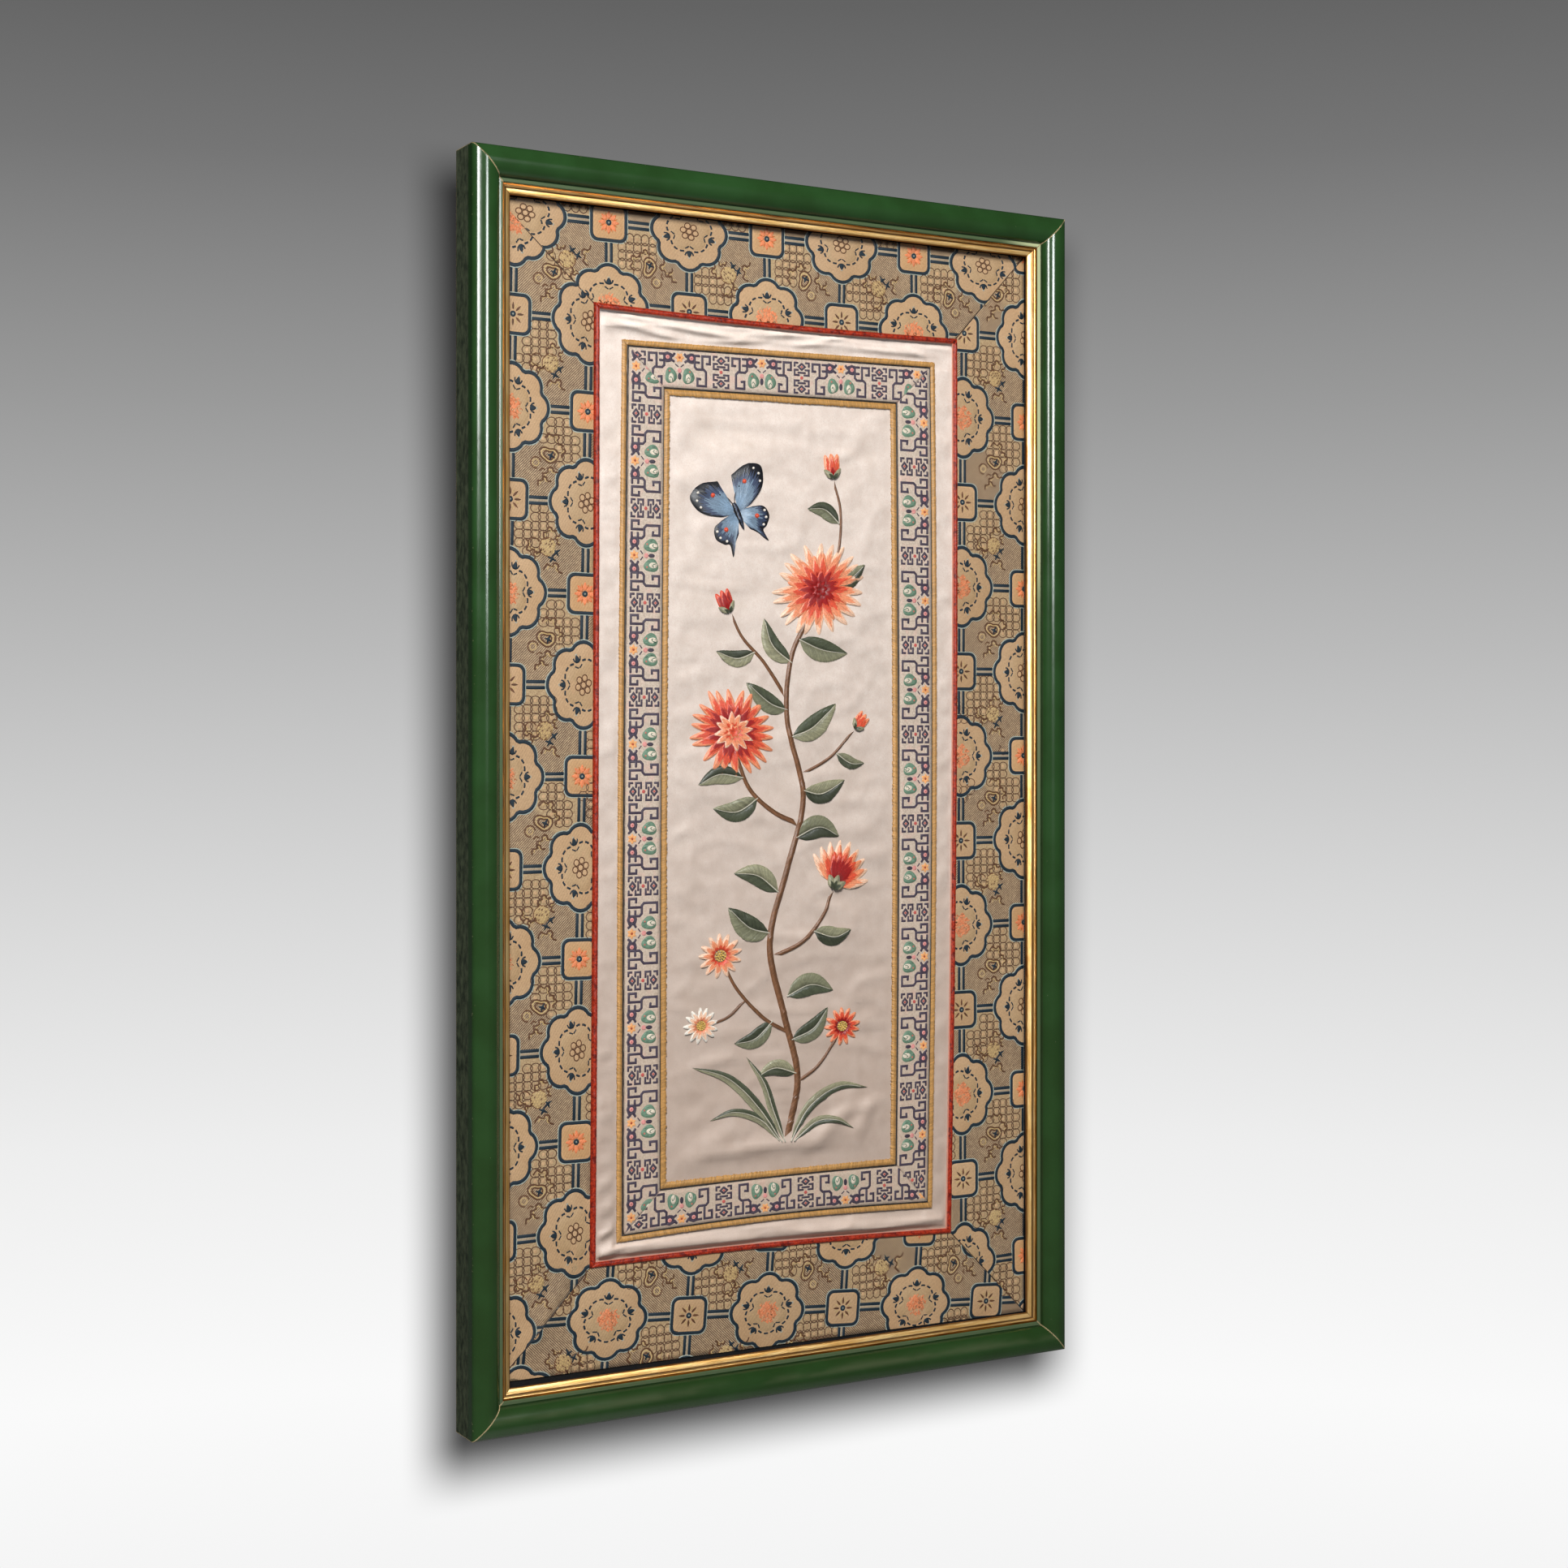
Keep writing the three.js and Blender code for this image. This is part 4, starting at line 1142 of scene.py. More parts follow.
def brocade_figures(side, random):
    lattice = LATTICES[side]
    along_turn, across_turn = (
        math.degrees(math.atan2(*lattice[key][::-1])) for key in ("along", "across")
    )
    made = Threads()
    medallions = {rosette: medallion(rosette, random) for rosette in (True, False)}
    squares = {orange: square(orange, random) for orange in (True, False)}
    for k in range(*lattice["knots"]):
        for j in range(*LATTICE_ROWS):
            place = knot_place(side, k, j)
            rosette_row = j % 2 == lattice["medallions"]
            shade = random.uniform(0.94, 1.05)
            if is_medallion(side, k, j):
                # Its sprig points across the strip, so its own x is the short way.
                turn, scale = across_turn + 180 * (j % 2), (0.92, 1.087)
                made.stamp(medallions[rosette_row], place, turn, scale, shade)
            else:
                made.stamp(squares[rosette_row], place, along_turn, shade=shade)
            for axis, turn in enumerate((along_turn, across_turn)):
                way = knot_place(side, k + 1 - axis, j + axis) - place
                sizes = MEDALLION_SIZE[axis], SQUARE_SIZE[axis]
                first, last = sizes if is_medallion(side, k, j) else sizes[::-1]
                gap = np.hypot(*way) - first - last
                middle = place + way / np.hypot(*way) * (first + gap / 2)
                made.stamp(double_bar(gap - 2.4), middle, turn)
            centre = (place + knot_place(side, k + 1, j + 1)) / 2
            fruit = (dotted_fruit if k % 2 == 0 else twin_fruit)(random)
            made.stamp(fruit, centre, lattice["fruit_turn"])
    add_coins(made, side, random)
    return made


def add_coins(made, side, random):
    """Rows of small rings with a dot in each, over the halves of the cells that carry them."""
    corners = np.array(BROCADE["corners"])
    low, high = corners.min(0) - 5, corners.max(0) + 5
    x, z = np.meshgrid(*(np.arange(low[axis], high[axis], COIN_PITCH) for axis in (0, 1)))
    x, z = x.ravel(), z.ravel()
    inside = (strip_distance(side, x, z) > -4) & (coin_zone(side, x, z) > 0.02)
    keep = inside & clear_of_figures(side, x, z, 1.2)
    ring = stroke(circle((0, 0), 3.15, 12), 0.75, 0.12, True)
    ring = ring * ([1.0, 0.84, 1] if side in UPRIGHT else [0.84, 1.0, 1])
    core = fill(circle((0, 0), 1.3, 6), 0.05)
    for place_x, place_z in zip(x[keep], z[keep]):
        place = [place_x + random.uniform(-0.15, 0.15), place_z + random.uniform(-0.15, 0.15), 0]
        made.add(ring + place, COIN * random.uniform(0.8, 1.15))
        made.add(core + place, TAN * random.uniform(0.85, 1.2))


def line_distance(lines, x, z):
    """How far points lie to the right of the nearest of some lines."""
    least = np.full(np.broadcast(x, z).shape, np.inf)
    for (x0, z0), (x1, z1) in lines:
        length = math.hypot(x1 - x0, z1 - z0)
        least = np.minimum(least, ((x - x0) * (z1 - z0) - (z - z0) * (x1 - x0)) / length)
    return least


def mitres(outer, inner, side):
    """The lines of a strip's two mitred ends, with the strip to their right."""
    (start, end), (inner_start, inner_end) = side_corners(outer, side), side_corners(inner, side)
    return [(end, inner_end), (inner_start, start)]


def strip_distance(side, x, z):
    """How far points lie inside one mitred strip of the brocade."""
    lines = [side_corners(BROCADE, side), *mitres(BROCADE, BROCADE_INNER, side)]
    return np.minimum(line_distance(lines, x, z), -inset_of(BROCADE_INNER, x, z))


def strip_grid(outer, inner, side, columns, rows, gap=0.1):
    """Places over a mitred strip: rows from its outer side, columns along it."""
    start, end = side_corners(outer, side)
    end_gap = gap / np.hypot(*(end - start))
    share = np.linspace(end_gap, 1 - end_gap, columns)
    first, last = side_point(outer, side, share), side_point(inner, side, share)
    v = np.linspace(0, 1, rows)[:, None, None]
    places = mix(first[None], last[None], v)
    return places[..., 0], places[..., 1]


def build_brocade():
    random = np.random.default_rng(7)
    figures = figure_finish()
    for side, name in enumerate(SIDES):
        upright = side in UPRIGHT
        x, z = strip_grid(BROCADE, BROCADE_INNER, side, 230 if upright else 130, 18)
        front = brocade_level(x, z)
        material = brocade_finish(not upright)
        cloth = make_slab(f"brocade_{name}_cloth", x, z, front, front - CLOTH_THICK, material)
        add_point_mask(cloth, smooth_step(coin_zone(side, x, z) / 0.05))
        add_piece(cloth, "brocade", f"brocade_{name}")
        threads = brocade_figures(side, random)
        threads = threads.clipped(lambda x, z, side=side: strip_distance(side, x, z))
        seam = curve([BROCADE_INNER["corners"][side], BROCADE["corners"][side]], 60)
        seam = offset(seam, 0.35 + 0.1 * value_noise(seam[:, 0], seam[:, 1], 5, 61))
        threads.add(stroke(seam, 0.8, 0.12), rgb(62, 44, 32))
        woven = threads.build(f"brocade_{name}_figures", brocade_level, figures)
        figure = add_piece(woven, "brocade")


def sheet_area(x, z):
    """The flat area of a grid of places, in square metres."""
    a = np.stack([x, z], -1)
    (x0, z0), (x1, z1) = np.moveaxis([a[1:, 1:] - a[:-1, :-1], a[1:, :-1] - a[:-1, 1:]], -1, 1)
    return float(np.abs(x0 * z1 - z0 * x1).sum() / 2e6)


# Piping and satin


def build_piping():
    material = piping_finish()
    for side, name in enumerate(SIDES):
        upright = side in UPRIGHT
        x, z = strip_grid(PIPING, PIPING_INNER, side, 330 if upright else 150, 9, 0.05)
        v = np.linspace(0, 1, 9)[:, None]
        run = z if upright else x
        puckers = 0.2 * value_noise(run, v * 3 + 9 * side, 2.6, 31)
        puckers = puckers + 0.14 * value_noise(run, v * 9, 1.1, 32)
        crown = PIPING_CROWN * np.sqrt(np.clip(1 - (2 * v - 1) ** 2, 0, 1))
        front = PIPING_EDGE - 0.5 * (1 - crown / PIPING_CROWN) + crown
        front = front + puckers * np.clip(crown, 0.15, 1)
        back = np.full_like(front, CLOTH_FRONT - 0.15)
        piping = make_slab(f"piping_{name}_fold", x, z, front, back, material)
        add_point_mask(piping, np.broadcast_to(smooth_step((v - 0.9) / 0.08), x.shape))
        add_piece(piping, "piping_red", f"piping_{name}")


def add_point_mask(made, values):
    """Marks a slab's points with the values of its grid, in front and behind."""
    values = np.tile(values.ravel(), 2)
    tint = made.data.attributes.new("tint", "FLOAT_COLOR", "POINT")
    colors = np.stack([values, values, values, np.ones_like(values)], -1)
    tint.data.foreach_set("color", colors.astype(np.float32).ravel())


def runs(*parts):
    """Shares from 0 to 1 in runs, each with the share it ends at and its number of steps."""
    shares, start = [0.0], 0.0
    for end, steps in parts:
        shares += list(start + (end - start) * (np.arange(steps) + 1) / steps)
        start = end
    return np.array(shares)


def build_satin():
    u = runs((0.085, 16), (0.19, 6), (0.81, 66), (0.915, 6), (1, 16))[None, :]
    v = runs((0.034, 24), (0.084, 8), (0.914, 164), (0.964, 8), (1, 28))[:, None]
    left, right = side_point(SATIN, LEFT, 1 - v[:, 0]), side_point(SATIN, RIGHT, v[:, 0])
    top, bottom = side_point(SATIN, TOP, u[0]), side_point(SATIN, BOTTOM, 1 - u[0])
    corners = np.array(SATIN["corners"], float)
    places = []
    for i in (0, 1):
        level = mix(left[:, i][:, None], right[:, i][:, None], u)
        upright = mix(top[:, i][None], bottom[:, i][None], v)
        tl, tr, br, bl = corners[:, i]
        places.append(level + upright - mix(mix(tl, tr, u), mix(bl, br, u), v))
    x, z = places
    front = satin_level(x, z)
    satin = make_slab("satin_panel_cloth", x, z, front, front - CLOTH_THICK, satin_finish())
    return add_piece(satin, "satin_cream", "satin_panel"), sheet_area(x, z)


# Ribbon and braids

RIBBON_WIDTH = 22.6
# Each side's first star and the step to the next, along x or z.
RIBBON_REPEAT = {
    TOP: (-66.5, 54.5), RIGHT: (222.2, -54.5), BOTTOM: (-65.1, 55.4), LEFT: (242.4, -54.15),
}
FRET = rgb(66, 55, 72)
FRET_LINE = 1.75
GREEN = rgb(104, 136, 114)
STAR = rgb(240, 172, 110)
PINK = rgb(222, 150, 146)
GOLD = rgb(190, 143, 82)
CORD = rgb(44, 40, 38)

# One half of the ribbon's repeat, from the star at s 0: lines as (s, t) with t from the outer edge.
FRET_LINES = [
    [(9.9, 2.5), (9.9, 9.3), (11.3, 10.7), (15.9, 10.7), (17.3, 12.1), (17.3, 20.6), (11.7, 20.6),
     (11.7, 16.3), (13.9, 16.5)],
    [(14.9, 10.4), (14.9, 2.5), (19.8, 2.5), (19.8, 7.0), (17.5, 7.0)],
    [(9.9, 2.5), (13.2, 2.5)],
    [(9.9, 6.5), (13.0, 6.5)],
    [(3.2, 1.9), (4.3, 3.3), (5.8, 2.6), (7.8, 1.9), (9.6, 2.4)],
    [(3.5, 6.9), (5.2, 5.9), (6.6, 6.6), (8.2, 6.9), (9.6, 6.3)],
    [(4.6, 3.4), (5.6, 4.4), (5.4, 5.9)],
]
# A quarter of the figure half way between two stars, as (s, t) from its middle.
EMBLEM_LINES = [
    [(1.6, 1.7), (4.9, 1.7), (4.9, 4.9), (2.3, 4.9)],
    [(0, 3.2), (2.6, 3.2)],
    [(0, 5.0), (2.2, 6.9), (0, 8.8)],
    [(2.6, 9.3), (4.9, 9.3), (4.9, 7.0)],
]
EMBLEM_MIDDLE = 11.5


def ribbon_figure(random):
    """One repeat of the ribbon's pattern, with s along it as x and t across it as z."""
    made = Threads()
    for sign in (-1, 1):
        flip = np.array([sign, 1.0])
        for line in FRET_LINES:
            made.add(stroke(np.array(line) * flip, FRET_LINE, 0.16), FRET)
        made.add(fill(circle((7.8 * sign, 4.3), 2.3, 14), 0.12), FRET)
        made.add(fill(circle((7.8 * sign, 4.3), 1.35, 12), 0.2, 0.06), PINK)
        made.add(fill(circle((7.8 * sign, 4.3), 0.45, 6), 0.3), rgb(190, 90, 92))
        wing = polar(lambda a: 4.2 + 0.35 * np.sin(3 * a + 1), 28) * [0.92, 1.14]
        made.add(fill(wing + [5.7 * sign, 15.4], 0.13, 0.08), GREEN)
        for _ in range(9):
            angle = random.uniform(0, 2 * np.pi)
            s, t = 5.7 * sign + 2.6 * math.cos(angle), 15.4 + 3.3 * math.sin(angle)
            tone = GREEN * random.choice([0.72, 1.3]) * [1, 1, 1.06]
            made.add(stroke([[s, t - 0.9], [s + 0.4, t + 0.9]], 0.6, 0.24), tone)
        pale = circle((0, 0), 2.3, 16) * [0.75, 1.25] + [5.5 * sign, 16.7]
        vein = np.array([(4.6, 18.6), (4.9, 16.9), (5.9, 16.0), (6.5, 17.0)]) * flip
        made.add(fill(pale, 0.24), rgb(226, 214, 196))
        made.add(stroke(vein, 0.7, 0.28), GREEN * 0.75)
        made.add(fill(circle((6.6 * sign, 12.6), 0.6, 6), 0.26), rgb(206, 110, 96))
        made.add(stroke([[2.7 * sign, 8.4], [0.9 * sign, 9.8]], 0.85, 0.16), FRET)
    for petal in range(6):
        outline = petal_outline(0.5, 2.6, 0.95, petal * np.pi / 3) + [0, 4.3]
        made.add(fill(outline, 0.15, 0.05), STAR)
    made.add(fill(circle((0, 4.3), 0.7, 8), 0.26), rgb(178, 76, 40))
    made.add(fill(circle((0, 12.1), 1.5, 10), 0.16), PINK)
    made.add(fill(circle((0, 0), 1, 14) * [1.15, 2.1] + [0, 15.6], 0.2), FRET * 0.75)
    return made


def emblem_figure():
    """Hooks around two diamonds, the same four ways, half way between the stars."""
    made = Threads()
    for flip in ((1, 1), (-1, 1), (1, -1), (-1, -1)):
        for line in EMBLEM_LINES:
            made.add(stroke(np.array(line) * flip + [0, EMBLEM_MIDDLE], 1.5, 0.16), FRET)
    for step in (-6.9, 6.9):
        made.add(fill(circle((0, EMBLEM_MIDDLE + step), 0.7, 6), 0.2), rgb(196, 88, 82))
    made.add(fill(circle((0, EMBLEM_MIDDLE), 1.1, 8), 0.22), rgb(196, 88, 82))
    return made


def side_ends(outline, side):
    """Where a side starts and ends: the x of a level one, the z of an upright one."""
    return side_corners(outline, side)[:, int(side in UPRIGHT)]


def side_shares(outline, side, run):
    """Shares along a side for places given by their x or z along it."""
    first, last = side_ends(outline, side)
    return (run - first) / (last - first)


def band_places(outer, inner, side, run, share):
    """Places on a band at a run along it and a share of its width."""
    a = side_point(outer, side, side_shares(outer, side, run))
    b = side_point(inner, side, side_shares(inner, side, run))
    return mix(a, b, np.asarray(share)[..., None])


def cut_mitres(threads, outer, inner, side):
    """A band's threads, cut just short of its two mitred ends."""
    lines = mitres(outer, inner, side)
    return threads.clipped(lambda x, z: line_distance(lines, x, z) - MITRE_GAP)


def build_ribbons():
    random = np.random.default_rng(17)
    ground, figures = ribbon_finish(), thread_finish("ribbon_figures", 0.55, 0.25)
    for side, name in enumerate(SIDES):
        upright = side in UPRIGHT
        x, z = strip_grid(RIBBON_OUTER, RIBBON_INNER, side, 240 if upright else 110, 10)
        back = np.full_like(x, CLOTH_FRONT + 0.05)
        band = make_slab(f"ribbon_{name}_band", x, z, ribbon_level(x, z), back, ground)
        add_piece(band, "ribbon_weave", f"ribbon_{name}")
        local = Threads()
        first, repeat = RIBBON_REPEAT[side]
        for k in range(-2, 12):
            for ahead, figure in ((0, ribbon_figure(random)), (0.5, emblem_figure())):
                place = (first + (k + ahead) * repeat, 0)
                local.stamp(figure, place, shade=random.uniform(0.93, 1.06))
        triangles, colors = local.gathered()
        run = triangles[..., 0]
        ends = sorted(side_ends(BORDER, side))
        near = ((run > ends[0]) & (run < ends[1])).any(1)
        triangles, colors = triangles[near], colors[near]
        run, share = triangles[..., 0], triangles[..., 1] / RIBBON_WIDTH
        places = band_places(RIBBON_OUTER, RIBBON_INNER, side, run, share)
        woven = Threads()
        woven.add(np.concatenate([places, triangles[..., 2:]], -1), colors)
        woven = cut_mitres(woven, RIBBON_OUTER, RIBBON_INNER, side)
        woven = woven.build(f"ribbon_{name}_figures", ribbon_level, figures)
        figure = add_piece(woven, "ribbon_weave")


def build_braids():
    random = np.random.default_rng(23)
    silk = thread_finish("gold_silk", 0.42, 0.3)
    for kind, (shares, gold, cord, ragged) in BRAIDS.items():
        outer, inner = (between(BORDER, FIELD, share) for share in shares)
        for side, name in enumerate(SIDES):
            low, high = sorted(side_ends(outer, side))
            run = np.linspace(low - 2, high + 2, 400)
            made = Threads()
            near, far = (band_places(BORDER, FIELD, side, run + slant, np.full_like(run, share))
                         for slant, share in zip((0, BRAID_SLANT), gold))
            tones = bands((GOLD, GOLD * 1.08), 0.55)
            satin_stitch(made, near, far, tones, random, 0.66, 0.5, 0.1, ragged, 0.14)
            sway = 0.12 * value_noise(run, 5 * side, 4, 51) / 32
            line = band_places(BORDER, FIELD, side, run, cord + sway)
            made.add(stroke(line, 0.85 + 0.25 * value_noise(run, 9 * side, 2, 52), 0.5), CORD)
            made = cut_mitres(made, outer, inner, side)
            braid = made.build(f"braid_{kind}_{name}_silk", lambda x, _: x * 0 + BRAID_LEVEL, silk)
            add_piece(braid, "braid_gold", f"braid_{kind}_{name}")


# Embroidery: a spray of chrysanthemums and asters over long blades, with a butterfly.

RED = rgb(158, 24, 24)
CORAL = rgb(222, 84, 56)
PEACH = rgb(240, 152, 112)
BLUSH = rgb(248, 206, 178)
LEAF_LIGHT = rgb(154, 152, 124)
LEAF_DARK = rgb(72, 78, 60)
STEM = rgb(128, 88, 60)
SLATE = rgb(116, 138, 160)
NAVY = rgb(44, 54, 76)
BLACK = rgb(24, 24, 30)
WHITE = rgb(244, 238, 228)
STRAW = rgb(214, 178, 92)
PALE_TONES, WARM_TONES = (CORAL, PEACH, BLUSH), (RED, CORAL, PEACH)
CALYX = bands((LEAF_DARK, LEAF_LIGHT), 0.5)


def petal(made, place, angle, length, width, colors, random, lift, reach=0.0, tip=2.2, bend=0.0):
    """A petal of long threads that starts at a distance from its place."""
    u = np.linspace(-1, 1, 21)
    end = np.stack([length * (1 - 0.6 * np.abs(u) ** tip), u * width / 2], -1)
    start = np.stack([0 * u, u * width * 0.2], -1)
    for points in (start, end):
        points[:, 1] += bend * (points[:, 0] / length) ** 2 * length * 0.3
        points[:, 0] += reach
    start, end = (points @ rotation(angle) + place for points in (start, end))
    satin_stitch(made, start, end, colors, random, 0.6, 0.55, lift)


def offset(path, amount):
    direction = np.gradient(path, axis=0)
    direction /= np.maximum(np.hypot(*direction.T), 1e-9)[:, None]
    return path + np.stack([-direction[:, 1], direction[:, 0]], -1) * np.asarray(amount)[..., None]


def leaf(made, points, width, random, light, dark, flip=1):
    """A leaf in two tones, with slanting threads on each side of a pale rib."""
    rib = curve(points, 41)
    t = np.linspace(0, 1, 41)
    half = width / 2 * np.sin(np.pi * t**0.85) ** 0.85
    half[[0, -1]] = 0.05
    lean = 6
    for sign, tone in ((flip, light), (-flip, dark)):
        edge = offset(rib, sign * half * (1.06 if sign == flip else 0.94))
        shades = bands((tone * 0.8, tone * 0.98, tone * 1.12), 0.3, 0.7)
        satin_stitch(made, rib[: 41 - lean], edge[lean:], shades, random, 0.66, 0.5, 0.0, 0.25)
    made.add(stroke(rib[:-3], np.linspace(0.9, 0.4, 38), 0.55), mix(light, WHITE, 0.45))


def stem(made, points, widths, random):
    """A stem of short slanting stitches that run along it."""
    path = curve(points, max(20, int(path_length(points) / 1.5)))
    width = np.interp(np.linspace(0, 1, len(path)), np.linspace(0, 1, len(widths)), widths)
    left, right = offset(path, width / 2), offset(path, -width / 2)
    shift = 3
    tones = bands((STEM, STEM * 0.72), 0.5)
    satin_stitch(made, left[:-shift], right[shift:], tones, random, 0.75, 0.5)


def knot(made, place, radius, tone, lift=0.3):
    made.add(fill(circle(place, radius, 8), 0.2 + lift, radius * 0.5), tone)


def full_flower(made, place, size, random, tones, squash, tilt):
    """Rings of narrow petals, the inner ones on top."""
    outer, middle, inner = tones
    # How many, and where they start, how long and how wide they are in sizes.
    rings = [
        (22, 0.32, 0.68, 0.21, bands(outer, 0.3, 0.72)),
        (17, 0.18, 0.56, 0.20, bands(middle, 0.35, 0.75)),
        (12, 0.06, 0.42, 0.18, bands(inner, 0.4, 0.8)),
        (7, 0.0, 0.2, 0.12, bands(inner, 0.6)),
    ]
    flower = Threads()
    for level, (count, reach, length, width, colors) in enumerate(rings):
        for i in random.permutation(count):
            angle = 2 * np.pi * (i + 0.5 * (level % 2)) / count + random.uniform(-0.05, 0.05)
            long = size * length * random.uniform(0.92, 1.06)
            lift = 0.22 * level + 0.02 * (i % 3)
            petal(flower, (0, 0), angle, long, size * width, colors, random, lift, size * reach,
                  2.0, random.uniform(-0.35, 0.35))
    made.stamp(flower, place, math.degrees(tilt), (1, squash))


def side_flower(made, place, size, angle, random):
    """A half-open flower seen from the side, with its calyx."""
    inner = (RED * 0.8, RED, CORAL)
    rows = ((9, 1.25, 0.95, PALE_TONES), (7, 0.9, 0.86, WARM_TONES), (5, 0.5, 0.7, inner))
    for level, (count, spread, length, tones) in enumerate(rows):
        for i in range(count):
            lean = mix(-spread, spread, i / (count - 1))
            petal(made, place, angle + lean, size * length * (1 - 0.12 * abs(lean)), size * 0.26,
                  bands(tones, 0.35, 0.75), random, 0.2 * level, size * 0.06, 2.0, -0.4 * lean)
    root = place - np.array([math.cos(angle), math.sin(angle)]) * size * 0.12
    for lean in (-0.75, 0.0, 0.75):
        petal(made, root, angle + lean, size * 0.34, size * 0.2, CALYX, random, 0.6, 0.0, 2.0)


def aster(made, place, size, random, tones):
    flower = Threads()
    for i in range(13):
        angle = 2 * np.pi * i / 13 + random.uniform(-0.05, 0.05)
        petal(flower, (0, 0), angle, size * 0.72, size * 0.3, bands(tones, 0.3, 0.7), random,
              0.03 * (i % 2), size * 0.26, 2.4)
    for ring, count in ((0.0, 1), (0.11, 6), (0.21, 11)):
        for spot in circle((0, 0), size * ring + 0.01, count, ring * 9):
            knot(flower, spot, 0.72, STRAW * random.uniform(0.8, 1.15), 0.35)
    made.stamp(flower, place, math.degrees(0.2), (1, 0.9))


def bud(made, place, angle, size, random, tones):
    for lean in (-0.42, 0.42, 0.0):
        petal(made, place, angle + lean, size, size * 0.42, bands(tones, 0.45, 0.8), random,
              0.1 if lean else 0.3, 0, 2.0, -lean)
    for lean in (-0.8, 0.8):
        petal(made, place, angle + lean, size * 0.55, size * 0.26, CALYX, random, 0.4)


def butterfly(made, place, size, turn, random):
    insect = Threads()
    wings = (
        ([(1.5, 3.2), (2.4, -0.5)], [(6, 26), (20, 29), (31, 24), (30, 14), (24, 7), (13, 1)],
         bands((SLATE * 1.5, SLATE * 1.1, NAVY * 1.9, BLACK * 1.2), 0.3, 0.6, 0.78)),
        ([(2.0, 0.5), (1.2, -5.5)],
         [(14, -1), (22, -4), (24, -12), (19, -18), (15, -20), (16, -29), (11, -21), (5, -15)],
         bands((SLATE * 1.35, SLATE * 0.95, NAVY * 1.6, BLACK * 1.2), 0.4, 0.68, 0.84)),
    )
    for sign in (-1, 1):
        flip = np.array([sign, 1.0])
        for level, (root, rim, colors) in enumerate(reversed(wings)):
            if level == 0:
                root, rim = root[::-1], rim[::-1]
            start, end = np.array(root) * flip, curve(rim, 60) * flip
            satin_stitch(insect, start, end, colors, random, 0.6, 0.5, 0.15 * level)
        for spot in (
            (24.5, 24.0), (27.2, 19.0), (26.2, 13.6), (21.0, -7.0), (20.4, -12.0), (16.4, -16.2),
        ):
            knot(insect, np.array(spot) * flip, 1.0, WHITE, 0.65)
        for spot in ((14.0, 18.0), (13.6, -8.4)):
            knot(insect, np.array(spot) * flip, 1.9, CORAL, 0.5)
        feeler = curve([(0.6, 6.0), (3.4, 12.0), (8.4, 16.0)], 12)
        insect.add(stroke(feeler * flip, 0.5, 0.5), BLACK)
        knot(insect, np.array([8.6, 16.3]) * flip, 0.8, BLACK)
    body = curve([(0, 7.0), (0.2, 0), (0, -13.5)], 24)
    half = 2.3 * np.sin(np.pi * np.linspace(0.06, 0.97, 24) ** 0.75) ** 0.7
    tones = bands((BLACK, NAVY * 1.4, BLACK), 0.4, 0.7)
    satin_stitch(insect, offset(body, half), offset(body, -half), tones, random, 0.7, 0.9, 0.4)
    made.stamp(insect, place, turn, (size, size))


# Stems as paths with their widths, blades and leaves as paths with a width.
STEMS = [
    ([(6, -208), (13, -172), (3, -132), (-6, -92), (6, -48), (17, -6), (6, 40), (9, 78), (24, 106)],
     (4.6, 4.2, 3.6, 3.0)),
    ([(14, -22), (-4, -14), (-20, 0), (-30, 22)], (3.0, 2.4)),
    ([(-3, -100), (16, -92), (30, -78), (37, -62)], (2.8, 2.2)),
    ([(5, 54), (-10, 74), (-24, 88), (-32, 102)], (2.4, 1.6)),
    ([(21, 100), (40, 136), (43, 164), (38, 184)], (2.2, 1.5)),
    ([(8, -146), (-10, -136), (-28, -118), (-37, -102)], (2.4, 1.8)),
    ([(-22, -124), (-34, -134), (-48, -138)], (1.8, 1.4)),
    ([(17, 8), (36, 18), (52, 34)], (2.0, 1.4)),
    ([(12, -176), (28, -166), (42, -148)], (2.2, 1.6)),
]
BLADES = [
    ([(2, -210), (-14, -188), (-34, -170), (-58, -162)], 7.0),
    ([(0, -209), (-12, -196), (-30, -190), (-46, -194)], 5.4),
    ([(8, -210), (22, -190), (42, -180), (62, -182)], 6.6),
    ([(10, -210), (26, -200), (40, -200), (52, -206)], 5.0),
    ([(4, -210), (-4, -190), (-10, -174), (-22, -158)], 5.6),
]
LEAVES = [
    ([(-6, -86), (-20, -82), (-34, -70)], 15), ([(0, -62), (-14, -52), (-30, -50)], 13),
    ([(12, -30), (28, -24), (42, -30)], 14), ([(17, -2), (30, -4), (46, 4)], 13),
    ([(9, 30), (24, 36), (40, 50)], 14), ([(6, 46), (-6, 50), (-22, 62)], 12),
    ([(9, 74), (-4, 84), (-10, 100)], 12), ([(14, 88), (30, 82), (48, 80)], 14),
    ([(34, 122), (48, 124), (60, 134)], 12), ([(42, 158), (32, 166), (20, 166)], 10),
    ([(-14, -6), (-28, -14), (-44, -12)], 13), ([(-24, 6), (-40, 8), (-54, 2)], 11),
    ([(6, -124), (22, -118), (38, -122)], 14), ([(9, -150), (24, -144), (34, -132)], 12),
    ([(-4, -138), (-16, -148), (-30, -150)], 11), ([(24, -86), (38, -90), (50, -86)], 12),
    ([(12, -170), (-2, -166), (-14, -170)], 10), ([(-16, 80), (-28, 76), (-42, 80)], 10),
    ([(40, 20), (50, 14), (60, 14)], 8),
]


